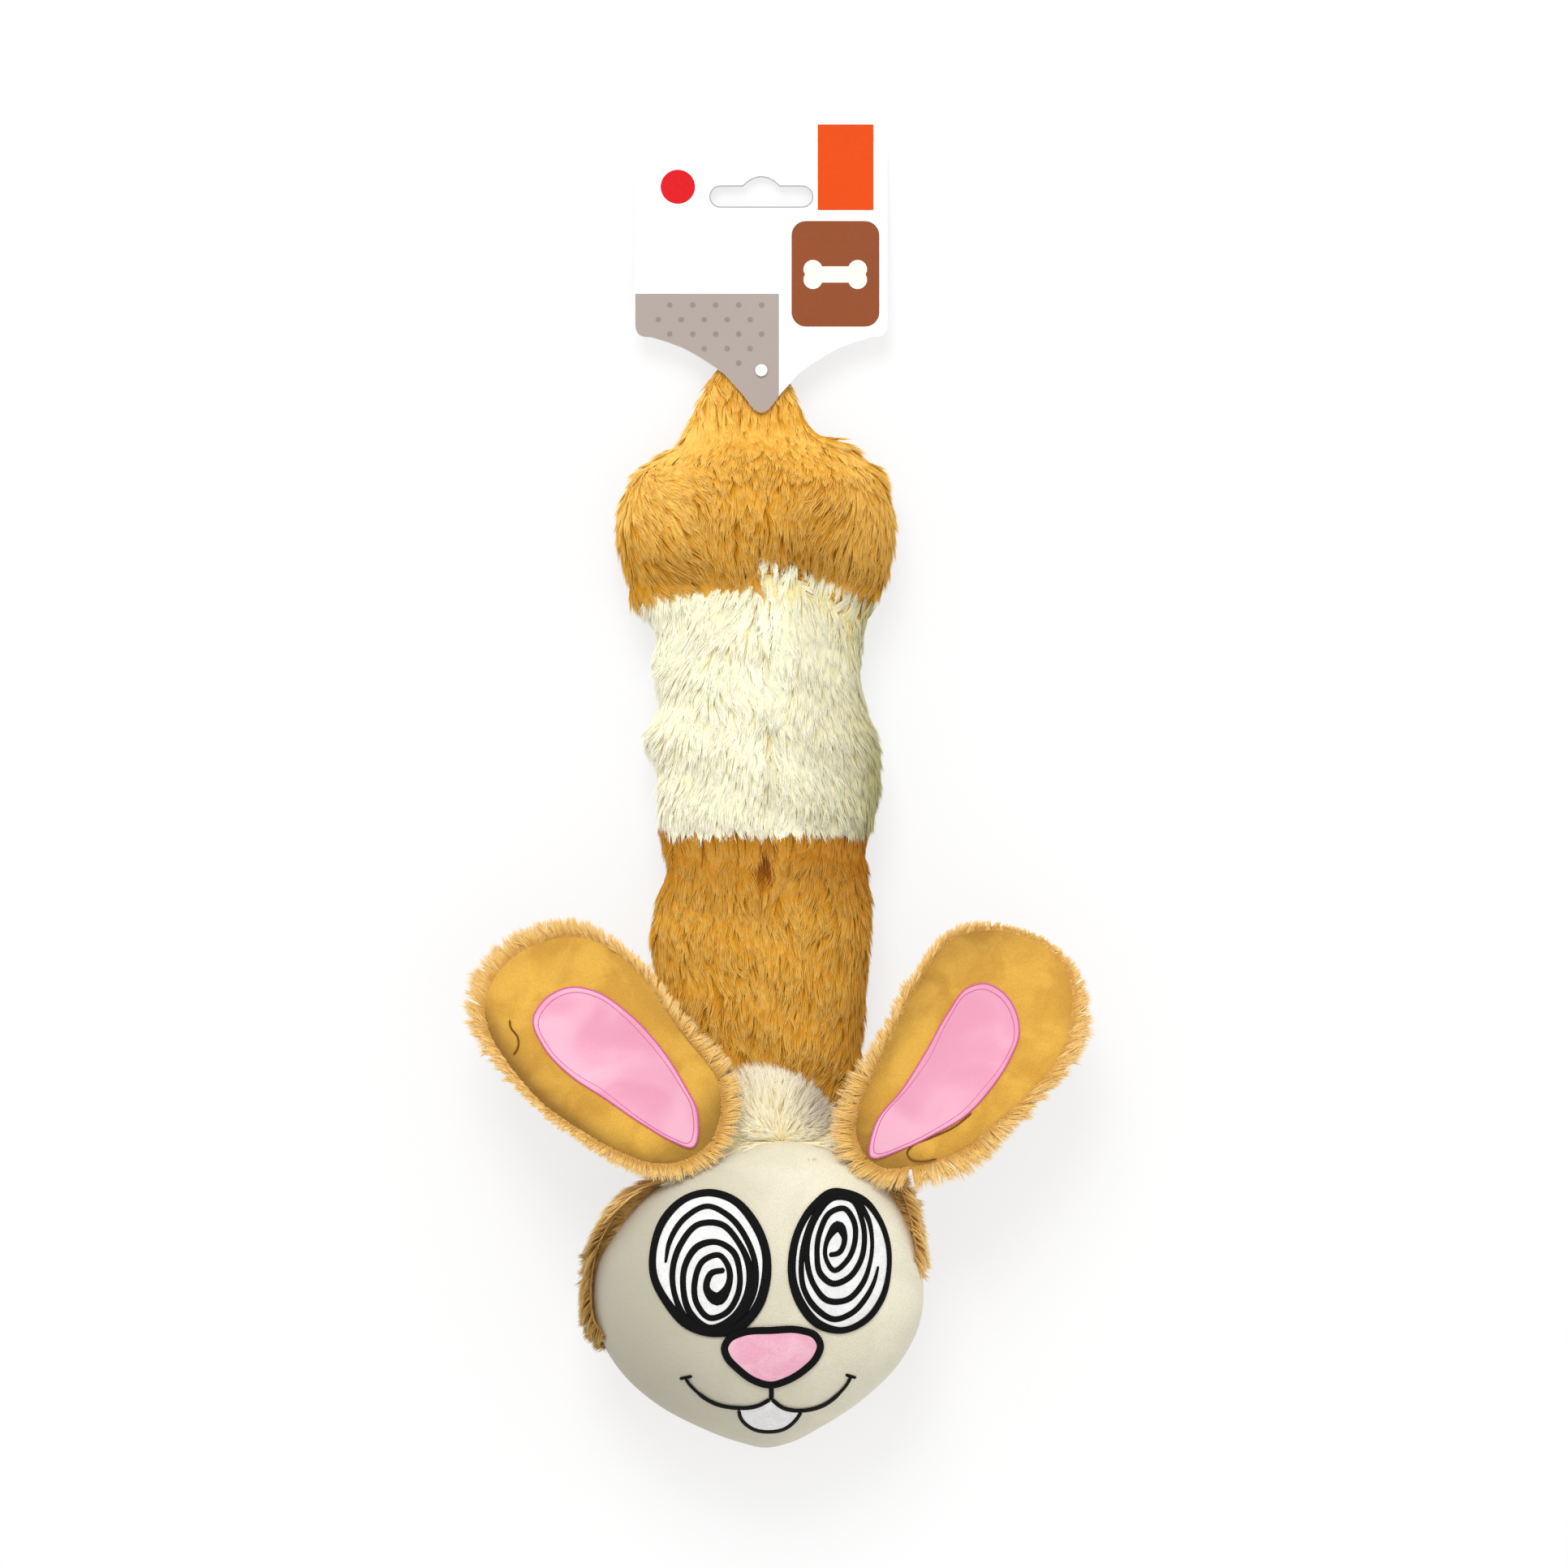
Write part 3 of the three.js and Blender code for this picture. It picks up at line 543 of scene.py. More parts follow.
def strand_copies(count):
    """A mesh of many strands, one after the other."""
    carrier = bpy.data.objects.new("strands", mesh_of("strands", strand_form()))
    bpy.context.scene.collection.objects.link(carrier)
    copies = carrier.modifiers.new("copies", "ARRAY")
    copies.count = count
    copies.use_relative_offset = False
    seen = carrier.evaluated_get(bpy.context.evaluated_depsgraph_get())
    many = bpy.data.meshes.new_from_object(seen)
    bpy.data.objects.remove(carrier)
    return many


def unit(vectors):
    return vectors / np.maximum(np.linalg.norm(vectors, axis=-1, keepdims=True), 1e-9)


def sites(surface, count, chance, favour):
    """Evenly spread places on a surface, each with a direction square to it."""
    tries = 5 * count
    across, along = 0.002 + 0.996 * chance.random((2, tries))
    step = 0.002
    here = surface(across, along)
    right = surface(across + step, along) - surface(across - step, along)
    ahead = surface(across, along + step) - surface(across, along - step)
    square = np.cross(right, ahead)
    size = np.linalg.norm(square, axis=1) + 1e-12
    size = size * favour(here)
    kept = chance.choice(tries, count, replace=False, p=size / size.sum())
    return here[kept], unit(square[kept])


def evenly(points):
    return np.ones(len(points))


def mostly_above(points):
    """Fewer strands underneath, where the toy lies on its pile."""
    return mix(0.55, 1.0, smooth_step(6, 16, points[:, 2]))


class Pile:
    """Strands grown on a surface, combed and drawn together into locks."""

    def __init__(self, surface, inside, count, comb, seed, length, width=0.7, **ways):
        chance = np.random.default_rng(seed)
        root, out = sites(surface, count, chance, ways.get("favour", evenly))
        out *= np.sign(np.sum(out * (root - inside(root)), axis=1, keepdims=True))
        if "out" in ways:
            out = unit(ways["out"](root, out))
        lift, settle = ways.get("lift", (16, 3))
        pull = ways.get("pull", 0.55)
        spread = ways.get("spread", 11)
        swirl = ways.get("swirl", 16)

        # Each lock takes in the strands around one of them, longer than it is wide.
        locks = max(4, int(count / max(2.0, ways.get("per_lock", 11))))
        leaders = chance.choice(count, locks, replace=False)
        squeeze = np.array((1.0, LOCK_LENGTH, 1.0))
        tree = KDTree(locks)
        for index, leader in enumerate(leaders):
            tree.insert(root[leader] * squeeze, index)
        tree.balance()
        lock = np.array([tree.find(spot)[1] for spot in root * squeeze])
        leader = leaders[lock]

        drift = lumps(root[leaders], 0.06, seed * 0.37) * math.radians(swirl) * 2
        veer = drift + chance.normal(0, math.radians(spread), locks)
        veer = veer[lock] + chance.normal(0, math.radians(spread * 0.5), count)
        lock_tint = chance.random(locks)
        lock_rise = chance.normal(0, 3.5, locks)

        flow = comb(root[leaders])[lock]
        flow = unit(flow - np.sum(flow * out, axis=1, keepdims=True) * out)
        side = unit(np.cross(flow, out))
        flow = flow * np.cos(veer)[:, None] + side * np.sin(veer)[:, None]
        side = unit(np.cross(flow, out))

        # Pile that is combed up a slope lies flat against it.
        calm = 1 - 0.8 * smooth_step(0.05, 0.55, flow[:, 2])

        def leaning(degrees):
            angle = (degrees + lock_rise[lock] + chance.normal(0, 3, count)) * calm
            angle = np.radians(angle)[:, None]
            return flow * np.cos(angle) + out * np.sin(angle)

        reach = (length(root) if callable(length) else length) * chance.uniform(0.78, 1.18, count)
        reach = reach[:, None]
        bend = root + leaning(lift) * reach * 0.5
        tip = bend + leaning(settle) * reach * 0.5
        tip = tip + (tip[leader] - tip) * pull * chance.uniform(0.5, 1.0, (count, 1))
        bend = bend + (bend[leader] - bend) * pull * 0.35
        drape = ways.get("drape")
        if drape:
            bend, tip = drape(bend, 0.9), drape(tip, 0.5)

        self.count = count
        self.root, self.bend, self.tip, self.side, self.out = root, bend, tip, side, out
        self.width = width * chance.uniform(0.75, 1.25, count)
        # Painted light: a rule that raises the tint, paling the strands towards their tip colour, where
        # light would fall.
        painted_light = ways.get("painted_light")
        painted_light = painted_light(root) if painted_light else 0.0
        self.tint = np.clip(0.55 * lock_tint[lock] + 0.45 * chance.random(count) + painted_light, 0, 1.4)
        shade = ways.get("shade")
        self.shade = shade(root) if shade else np.zeros(count)


def floor_stop(points):
    """Pile that would pass through the floor lies on it."""
    points[..., 2] = np.maximum(points[..., 2], FLOOR_GAP)
    return points


def under_card(points):
    """Pile at the tail is pressed flat under the header card."""
    up, out = np.array(CARD_UP), np.array(CARD_OUT)
    away = points - np.array(TO_FRAME.inverted() @ CARD_JOINT)
    over = away @ out - CARD_UNDERSIDE + CARD_CLEARANCE
    room = 1.3 * np.clip(-CARD_TIP - away @ up, 0, None)
    near = away[:, 1] > -CARD_TIP - 12
    return points - np.where(near, np.clip(over - room, 0, None), 0)[:, None] * out


def coat(name, backing, piles, material):
    """Backing cloth with its pile, as one piece."""
    count = sum(pile.count for pile in piles)
    many = strand_copies(count)
    per_strand = len(many.vertices) // count
    shape = np.empty(len(many.vertices) * 3)
    many.vertices.foreach_get("co", shape)
    shape = shape.reshape(count, per_strand, 3)[0]
    rise = shape[:, 2] + 0.5
    full = np.where(rise > 0.99, 0.0, (1 - rise) ** 0.45)
    turn = np.arctan2(shape[:, 1], shape[:, 0])
    across, up = np.cos(turn) * full, np.sin(turn) * full

    # Each strand follows a curve from its root past its bend to its tip.
    spots = []
    for pile in piles:
        t = rise[None, :, None]
        line = (1 - t) ** 2 * pile.root[:, None] + 2 * t * (1 - t) * pile.bend[:, None]
        line = line + t**2 * pile.tip[:, None]
        half = 0.5 * pile.width[:, None, None]
        line = line + pile.side[:, None] * across[None, :, None] * half
        line = line + pile.out[:, None] * up[None, :, None] * half * FLATNESS
        spots.append(line)
    spots = under_card(floor_stop(np.concatenate(spots).reshape(-1, 3)))
    many.vertices.foreach_set("co", spots.ravel())

    base = mesh_of("backing", backing)
    whole = bmesh.new()
    whole.from_mesh(base)
    whole.from_mesh(many)
    mesh = mesh_of(name, whole)

    # The bake's map: the backing below, and one small cell for each strand above it.
    def corners(source):
        values = np.empty(len(source.loops) * 2)
        source.uv_layers["OFBake"].data.foreach_get("uv", values)
        return values.reshape(-1, 2)

    columns = math.ceil(math.sqrt(count * 1.25))
    rows = math.ceil(count / columns)
    cell = np.arange(count)
    start = np.stack((cell % columns, cell // columns), axis=1)
    strand_map = corners(many).reshape(count, -1, 2) + start[:, None]
    strand_map = strand_map * (1 / columns, 0.8 / rows) + (0, 0.2)
    base_map = corners(base) * (1, 0.18)
    layer = mesh.uv_layers.get("OFBake") or mesh.uv_layers.new(name="OFBake")
    layer.data.foreach_set("uv", np.r_[base_map.ravel(), strand_map.ravel()])

    own = len(base.vertices)
    tint = np.concatenate([pile.tint for pile in piles])
    shade = np.concatenate([pile.shade for pile in piles])
    for label, on_backing, values in (
        ("pile_along", 0.0, np.tile(rise, count)),
        ("pile_tint", 0.4, np.repeat(tint, per_strand)),
        ("pile_shade", 0.0, np.repeat(shade, per_strand)),
    ):
        store = mesh.attributes.new(label, "FLOAT", "POINT")
        values = np.r_[np.full(own, on_backing), values]
        store.data.foreach_set("value", values.astype(np.float32))
    bpy.data.meshes.remove(base)
    bpy.data.meshes.remove(many)
    return piece(name, mesh, material, smooth=False)


def backing_of(surface, inside, across, along):
    """A closed layer of cloth under the pile, thinning out at its edges."""

    def place(turn, run):
        share = 1 - np.abs(2 * turn - 1)
        outer = surface(share, run)
        inward = unit(inside(outer) - outer)
        thin = np.clip(12 * share * (1 - share), 0, 1) * np.clip(12 * run * (1 - run), 0, 1)
        return outer + inward * (BACKING * thin * (turn > 0.5))[:, None]

    return warped_grid(2 * across, along, place)


# Body

# By place along the toy: how far out its left and right edges lie in the photograph, then the line
# of its middle, its top, its underside and the level where it is widest
BODY_EDGE = (
    (NECK_END, 20, 20), (-4, 28, 28), (4, 32, 32), (22, 32.8, 32.5), (42, 34.2, 34),
    (60, 35.3, 35.3), (70, 33, 35.2), (80, 31.2, 34.2), (FRONT_SEAM, 33, 34.9), (96, 33.6, 37),
    (108, 33.6, 38.2), (120, 36.6, 36.8), (130, 33.6, 33.8), (142, 34.6, 32.4), (151, 34.6, 33.4),
    (158, 37.5, 35.8), (164, 42.2, 39), (172, 44.2, 41.4), (187, 46, 42.6), (197, 43.4, 40.8),
    (202.4, 40, 39), (207.5, 32.4, 32), (210.8, 27.2, 28), (213.8, 26.2, 20), (217.5, 24.8, 16.4),
    (222.3, 22.6, 13.8), (230, 18, 9.6), (236, 13.2, 6), (240, 9, 1.5), (TAIL_END, 7, -1.5),
)
BODY_LINE = (
    (NECK_END, -0.6), (60, 0), (86, 1.5), (106, 2.4), (125, 2), (145, 1.3), (171, -1.3), (200, -1),
    (225, -3.2), (TAIL_END, -4.2),
)
BODY_TOP = (
    (NECK_END, 24), (-4, 31), (4, 35), (15, 37.5), (43, 40), (70, 38.5), (86, 35.6), (100, 38.5),
    (127, 40.5), (150, 38), (162, 37), (170, 39), (178, 42.5), (187, 44), (197, 42), (203, 38),
    (208, 31), (213, 22), (219, 14.8), (228, 12.6), (236, 11), (TAIL_END, 8.6),
)
BODY_UNDER = (
    (NECK_END, 10), (-4, 4), (4, 1.5), (15, 0), (197, 0), (205, 1), (213, 3), (TAIL_END, 3.6),
)
BODY_MIDDLE = (
    (NECK_END, 17), (0, 18), (198, 18), (206, 15.5), (213, 11.5), (219, 9.5), (TAIL_END, 6.3),
)
# Where two colours meet, by the share of the way round from the top seam to the seam underneath
COLOUR_EDGES = {
    ("front border", -1): ((0, 91), (0.35, 91), (0.44, 94.6), (0.56, 94.6), (0.7, 91), (1, 91)),
    ("front border", 1): ((0, 91), (0.38, 91), (0.46, 92.4), (0.56, 92.4), (0.7, 91), (1, 91)),
    ("rear border", -1): (
        (0, 168.5), (0.2, 167.2), (0.32, 165), (0.42, 163.6), (0.5, 163), (0.75, 166), (1, 168),
    ),
    ("rear border", 1): (
        (0, 170.2), (0.06, 169.2), (0.1, 167.6), (0.16, 165), (0.21, 161), (0.27, 159.4),
        (0.5, 158.8), (0.75, 163), (1, 168),
    ),
}
# Where the middle band's pile stands over the rear seam, by place across the toy
STANDING_LINE = (
    (0, 170.2), (8, 168.9), (14, 167), (19, 164.8), (24, 161), (28, 159.4), (42, 158.8),
)

left_edge = smooth_rows([(row[0], row[1]) for row in BODY_EDGE])
right_edge = smooth_rows([(row[0], row[2]) for row in BODY_EDGE])
body_line = smooth_rows(BODY_LINE)
body_top = smooth_rows(BODY_TOP)
body_under = smooth_rows(BODY_UNDER)
body_middle = smooth_rows(BODY_MIDDLE)
BORDERS = {border: smooth_rows(rows) for border, rows in COLOUR_EDGES.items()}
standing_line = smooth_rows(STANDING_LINE)


def body_point(side, y, around, inset=0.0):
    """A point of the cloth under the pile. Around runs from the top seam to the seam underneath."""
    line = body_line(y)
    thin = np.clip((TAIL_END + 14 - y) / 40, 0.35, 1)
    edge = left_edge(y) + line if side < 0 else right_edge(y) - line
    seam = hill(y, FRONT_SEAM, 3.4) * 0.6 + hill(y, REAR_SEAM, 3.0) * 0.6
    half = np.maximum(edge - PILE_SIDE * thin - inset - seam, 0.8)
    middle = body_middle(y)
    up = np.maximum(body_top(y) - middle - PILE_TOP * thin - inset - seam, 0.5)
    down = np.maximum(middle - body_under(y) - PILE_UNDER * thin - inset, 0.5)
    closing = np.sqrt(np.clip((TAIL_END - y) / 3, 0.02, 1))
    half, up, down = half * closing, up * closing, down * closing
    turn = math.pi / 2 - math.pi * around
    groove = 1 - 0.035 * (hill(around, 0, 0.03) + hill(around, 1, 0.03))
    x = line + side * half * power(np.cos(turn), 2 / SECTION_FULLNESS)
    rise = power(np.sin(turn), 2 / SECTION_FULLNESS) * groove
    z = middle + np.where(rise > 0, up, down) * rise
    lobe = hill(np.abs(x + 1), 25, 11) * np.clip(rise, 0, 1)
    z = z + lobe * (1.6 * hill(y, 194, 8) - 2.4 * hill(y, 205, 5))
    wave = np.sin(x * 0.21 + y * 0.13) * np.sin(y * 0.19 - x * 0.08)
    z = z + 0.7 * wave * np.clip(rise, 0, 1)
    return stack(x, y, z)


def band_surface(side, start, end):
    """The cloth of half a band between two edges, each a place or a rule of the way around."""

    def surface(around, along):
        low = start(around) if callable(start) else start
        high = end(around) if callable(end) else end
        return body_point(side, mix(low, high, along), around)

    return surface


def over_seams(surface):
    """The pile's own surface, which passes the centre seams a little."""
    return lambda around, along: surface(mix(-SEAM_OVERLAP, 1 + SEAM_OVERLAP, around), along)


def body_core(points):
    return stack(body_line(points[:, 1]), points[:, 1], body_middle(points[:, 1]))


def over_body(points, clear):
    """Lifts what would sink into the top of the body back over its cloth."""
    x, y, z = points.T
    line, middle = body_line(y), body_middle(y)
    edge = np.where(x < line, left_edge(y) + line, right_edge(y) - line)
    half = np.maximum(edge - PILE_SIDE, 1)
    share = np.clip(np.abs(x - line) / half, 0, 1)
    up = np.maximum(body_top(y) - middle - PILE_TOP, 1)
    cloth = middle + up * (1 - share**SECTION_FULLNESS) ** (1 / SECTION_FULLNESS) + clear
    above = (share < 0.97) & (z > middle)
    return stack(x, y, np.where(above, np.maximum(z, cloth), z))


def comb_front(points):
    """The front band's pile runs to the head and in towards its middle."""
    x, y = points[:, :2].T
    inward = -0.3 * np.clip(x / 34, -1, 1) - 0.5 * smooth_step(10, 30, x) * smooth_step(60, 20, y)
    away = x - body_line(y)
    parting = 0.45 * np.sign(away) * hill(away, 0, 3.5) * hill(y, 81, 6)
    return stack(inward + parting, -1, 0)


def comb_middle(points):
    """The middle band's pile fans outwards. On the right some of it stands back over the rear seam."""
    x, y = points[:, :2].T
    away = x - body_line(y)
    near = (y - standing_line(x) + 7) / 9 + 1.2 * lumps(points, 1.1, 4.0)
    turned = smooth_step(0.4, 0.6, near) * smooth_step(-1.5, 1.0, away)
    parting = 0.22 * np.sign(away) * hill(away, 0, 2.5)
    return stack((0.3 * x / 35 + parting) * (1 - turned) + 0.12 * turned, -1 + 2 * turned, 0)


def comb_rear(points):
    """The haunch pile runs down and in from both lobes."""
    x, y = points[:, :2].T
    lobes = smooth_step(8, 30, np.abs(x)) * smooth_step(210, 196, y)
    pull = np.where(x < 0, 1.2, -0.5)
    return stack(lobes * pull, -1, 0)


def shade_front(points):
    # Painted shade: darker along the middle line, most in the parting by the cream border, darker near
    # that border and towards the right side, and a little all over.
    x, y = points[:, :2].T
    parting = hill(x - body_line(y) + 0.6, 0, 1.5) * smooth_step(10, 60, y)
    parting = parting * (0.1 + 0.85 * hill(y, 81, 5.5))
    edge = 0.36 * smooth_step(62, 84, y)
    return np.clip(parting + edge + 0.1 + 0.3 * smooth_step(10, 34, x), 0, 1)


def shade_middle(points):
    # Painted shade: a fine dark line along the middle seam, darker towards the right side and most at the
    # right edge.
    x, y = points[:, :2].T
    line = hill(x - body_line(y), 0, 0.8) * 0.3
    edge = 0.55 * smooth_step(20, 36, x) + 0.15 * smooth_step(28, 36, x) * smooth_step(160, 130, y)
    return np.clip(line + 0.34 * smooth_step(2, 20, x) + edge, 0, 1)


def shade_rear(points):
    # Painted shade: darker low on the haunch, in a hollow right of the middle, and towards the right side.
    x, y = points[:, :2].T
    low = 0.2 * smooth_step(192, 176, y)
    hollow = 0.3 * hill(x, 14, 12) * hill(y, 184, 9)
    return np.clip(low + hollow + 0.16 * smooth_step(14, 36, x), 0, 1)


# Each coat's name, its two borders, its strands, its node, its body and the body it bends with.
BANDS = (
    ("front_coat_neck", NECK_END, NECK_SPLIT, 11200, "front_skin", "front", "head"),
    ("front_coat_seam", NECK_SPLIT, "front border", 11400, "front_skin", "front", "middle"),
    ("middle_coat_front", "front border", MIDDLE_SPLIT, 11500, "middle_skin", "middle", "front"),
    ("middle_coat_rear", MIDDLE_SPLIT, "rear border", 12200, "middle_skin", "middle", "rear"),
    ("rear_coat", "rear border", TAIL_END, 17500, "rear_skin", "rear", "middle"),
)
COMBS = {"front_skin": comb_front, "middle_skin": comb_middle, "rear_skin": comb_rear}
SHADES = {"front_skin": shade_front, "middle_skin": shade_middle, "rear_skin": shade_rear}
SLOTS = {"front_skin": "tan_plush", "middle_skin": "cream_plush", "rear_skin": "tan_plush"}


def pile_reach(points):
    """Longest on the bands, shorter on the tail and where the cream pile stands over the tan."""
    x, y = points[:, :2].T
    right = smooth_step(-1.5, 1.0, x - body_line(y)) * smooth_step(8, 14, points[:, 2])
    past = y - standing_line(x)
    tucked = right * smooth_step(10, 6, past) * (past > 0)
    standing = right * smooth_step(-7, -2, past) * (past <= 0)
    seam = smooth_step(99, 93, y) * (y > 90)
    shoulder = hill(y, 204, 8) * smooth_step(22, 34, np.abs(x))
    shorter = 7.2 * tucked + 1.8 * standing + 2.4 * seam + 2.6 * shoulder
    return BAND_PILE - 3.2 * smooth_step(208, 226, y) - shorter


def rear_painted_light(points):
    """Painted light: the tint is raised on the lobes' tops and the tail, as if lit there, and lowered a
    little all over.
    """
    x, y = points[:, :2].T
    left = smooth_step(-8, -34, x) * smooth_step(176, 192, y)
    right = smooth_step(16, 32, x) * smooth_step(165, 180, y)
    return 0.75 * left + 0.6 * right + 0.5 * smooth_step(205, 216, y) - 0.16


def make_bands():
    for index, row in enumerate(BANDS):
        name, start, end, strands, node, body, neighbour = row
        for side, label in ((-1, "left"), (1, "right")):
            low = BORDERS.get((start, side), start)
            high = BORDERS.get((end, side), end)
            surface = band_surface(side, low, high)
            pile = Pile(
                over_seams(surface), body_core, strands, COMBS[node], 31 + 2 * index + (side > 0),
                length=pile_reach, width=STRAND_WIDTH, favour=mostly_above, drape=over_body,
                # Painted shade from SHADES on every band, and painted light on the rear coat.
                shade=SHADES[node], painted_light=rear_painted_light if node == "rear_skin" else None,
            )
            slot = SLOTS[node]
            material = CREAM_PLUSH if slot == "cream_plush" else TAN_PLUSH
            backing = backing_of(surface, body_core, 26, 30)
            made = coat(f"{name}_{label}", backing, [pile], material)
            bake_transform(made)
            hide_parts(f"{node}_{label}")


# Head

# The face's edge in plan, and how far the plush shows past it in each direction, in degrees
FACE_EDGE = (
    (6.9, -5.6), (-9.9, -9.1), (-24.1, -15.7), (-36.5, -25), (-45.5, -36.1), (-51, -45.2),
    (-52.6, -56.1), (-49.8, -69.6), (-43.7, -79.5), (-32.8, -89.4), (-20.1, -96.4), (-6.6, -101.6),
    (1.5, -103.3), (8, -102), (19.6, -96.2), (32.3, -87.6), (44.6, -74.5), (49.6, -63.8),
    (50.6, -51.1), (47.6, -38), (42.0, -25.9), (35.3, -16.4), (26.5, -10.2),
)
FRINGE_REACH = (
    (-180, 4.6), (-171, 4.4), (-166, 3), (-160, 0), (-140, -2.2), (-90, -2.6), (-20, -2.6),
    (4, -1.4), (14, 3.2), (24, 5), (32, 6.6), (46, 6.8), (58, 4.6), (68, -1), (90, -2.6), (112, -2),
    (124, 1), (138, 6), (148, 7.6), (160, 7), (170, 5.2), (180, 4.6),
)
face_reach = outline_round(FACE_EDGE, HEAD_MIDDLE)
fringe_reach = smooth_rows(FRINGE_REACH)


def head_equator(y):
    """Height of the head's widest line, which sinks towards the chin."""
    away = np.clip((CHEEK_LINE - y) / (CHEEK_LINE - CHIN_LINE), 0, 1)
    return mix(EQUATOR, CHIN_EQUATOR, away**2)


def round_head(out, angle):
    """Places in plan at a distance from the head's middle."""
    return HEAD_MIDDLE[0] + out * np.cos(angle), HEAD_MIDDLE[1] + out * np.sin(angle)


def head_angle(side, around):
    """Directions from the head's middle round one of its sides, in radians and in degrees."""
    angle = math.pi / 2 - side * math.pi * np.clip(around, 0, 1)
    return angle, (np.degrees(angle) + 180) % 360 - 180


def face_height(x, y):
    """Top of the face above a place in plan."""
    dx, dy = x - HEAD_MIDDLE[0], y - HEAD_MIDDLE[1]
    share = np.clip(np.hypot(dx, dy) / face_reach(np.arctan2(dy, dx)), 0, 1)
    crown = CROWN * (1 - share**DOME_FULLNESS) ** (1 / DOME_FULLNESS)
    dart = 0.35 * hill(x, 5.2, 0.7) * smooth_step(-52, -42, y)
    soft = 0.5 * np.sin(x * 0.12 + 1.1) * np.sin(y * 0.1) * (1 - share**4)
    return head_equator(y) + crown - dart + soft


def on_face(x, y, lift=0.0):
    return stack(x, y, face_height(x, y) + lift)


def face_form():
    def top(turn, share):
        angle = TURN * turn
        return on_face(*round_head(face_reach(angle) * np.sin(share * math.pi / 2), angle))

    def bottom(turn, share):
        points = top(turn, share)
        inner = points + (0, 0, -VELOUR)
        inner[:, :2] = mix(points[:, :2], np.array(HEAD_MIDDLE), 0.03 * share[:, None])
        return inner

    return pillow(top, bottom, 128, 40)


def head_surface(side):
    """The plush back of the head, from just over its rim to the middle underneath."""

    def surface(around, along):
        angle, degrees = head_angle(side, around)
        rim = face_reach(angle) - 3.2 + fringe_reach(degrees)
        under = mix(-0.2, math.pi / 2, along)
        x, y = round_head(rim * power(np.cos(under), 2 / BACK_FULLNESS), angle)
        level = head_equator(round_head(rim, angle)[1])
        level = mix(level, EQUATOR, smooth_step(0.5, 1.4, under))
        return stack(x, y, level - (level - 2.4) * power(np.sin(under), 2 / BACK_FULLNESS))

    return surface


def head_core(points):
    return stack(0 * points[:, 0], HEAD_MIDDLE[1] + 0 * points[:, 0], 31)


def shown_fringe(points):
    """How far the head's plush stands out past the face near each point, from 0 to 1."""
    away = points[:, :2] - HEAD_MIDDLE
    degrees = np.degrees(np.arctan2(away[:, 1], away[:, 0]))
    return smooth_step(0.2, 2.5, fringe_reach(degrees))


def comb_head(points):
    away = points[:, :2] - HEAD_MIDDLE
    away = away / np.maximum(np.hypot(*away.T), 1)[:, None]
    out = mix(0.25, 0.9, shown_fringe(points))
    return stack(out * away[:, 0], -0.9 + 0.3 * away[:, 1] * out, 0)


def shade_head(points):
    """Painted shade: the head's plush is darkened on the left and a little all over."""
    x, y = points[:, :2].T
    return 0.55 * smooth_step(-34, -50, x) * smooth_step(-22, -36, y) + 0.08


def fringe_surface(side):
    """The strip of plush that shows beside the face."""

    def surface(around, along):
        angle, degrees = head_angle(side, around)
        out = face_reach(angle) - 1.6 + np.maximum(fringe_reach(degrees) - 1.8, 0.4) * along
        x, y = round_head(out, angle)
        return stack(x, y, head_equator(y) + 1.7 - 2.6 * along)

    return surface


def make_head():
    face = piece("face_panel_velour", face_form(), CREAM_VELOUR)
    fit_piece(face, "face_panel")
    for side, label in ((-1, "left"), (1, "right")):
        surface = head_surface(side)
        pile = Pile(
            surface, head_core, 10000, comb_head, 71 + side, HEAD_PILE, STRAND_WIDTH,
            lift=(40, 4), shade=shade_head,
        )
        fringe = Pile(
            fringe_surface(side), head_core, 2400, comb_head, 77 + side, FRINGE_PILE, FRINGE_WIDTH,
            lift=(12, -6), spread=20, favour=shown_fringe, shade=shade_head,
            out=lambda root, out: stack(0, 0, np.ones(len(root))),
        )
        backing = backing_of(surface, head_core, 40, 22)
        made = coat(f"head_coat_{label}", backing, [pile, fringe], EAR_PLUSH)
        fit_piece(made, f"head_back_{label}")


# Face details


def ribbon(path, width, height, place, around=8, closed=False, steps=None):
    """A line of thread along a path in plan, laid on a surface."""
    path = np.array(path, float)
    width = np.broadcast_to(np.array(width, float), (len(path),))
    lengths = np.r_[0, np.cumsum(np.hypot(*np.diff(path, axis=0).T))]
    steps = steps or max(8, int(lengths[-1] / 0.9))

    def spot(run):
        far = run * lengths[-1]
        return np.stack([np.interp(far, lengths, path[:, k]) for k in (0, 1)], axis=-1)

    near = min(0.02, 0.5 / lengths[-1])

    def laid(turn, run):
        ahead = spot(np.clip(run + near, 0, 1)) - spot(np.clip(run - near, 0, 1))
        if closed:
            ahead = spot((run + near) % 1) - spot((run - near) % 1)
        ahead = unit(ahead)
        square = np.stack((-ahead[:, 1], ahead[:, 0]), axis=-1)
        half = 0.5 * np.interp(run * lengths[-1], lengths, width)
        if not closed:
            end = np.clip(np.minimum(run, 1 - run) * lengths[-1] / 0.6, 0, 1)
            half = half * np.sqrt(1 - (1 - end) ** 2)
        flat = spot(run) + square * (np.cos(TURN * turn) * half)[:, None]
        lift = height * (0.45 + 0.55 * np.sin(TURN * turn)) * np.clip(half * 4, 0, 1)
        return place(flat[:, 0], flat[:, 1], lift)

    form = warped_grid(around, steps, laid, "stitch")
    layer = form.loops.layers.uv["stitch"]
    for face in form.faces:
        for loop in face.loops:
            loop[layer].uv.y *= lengths[-1]
    return form


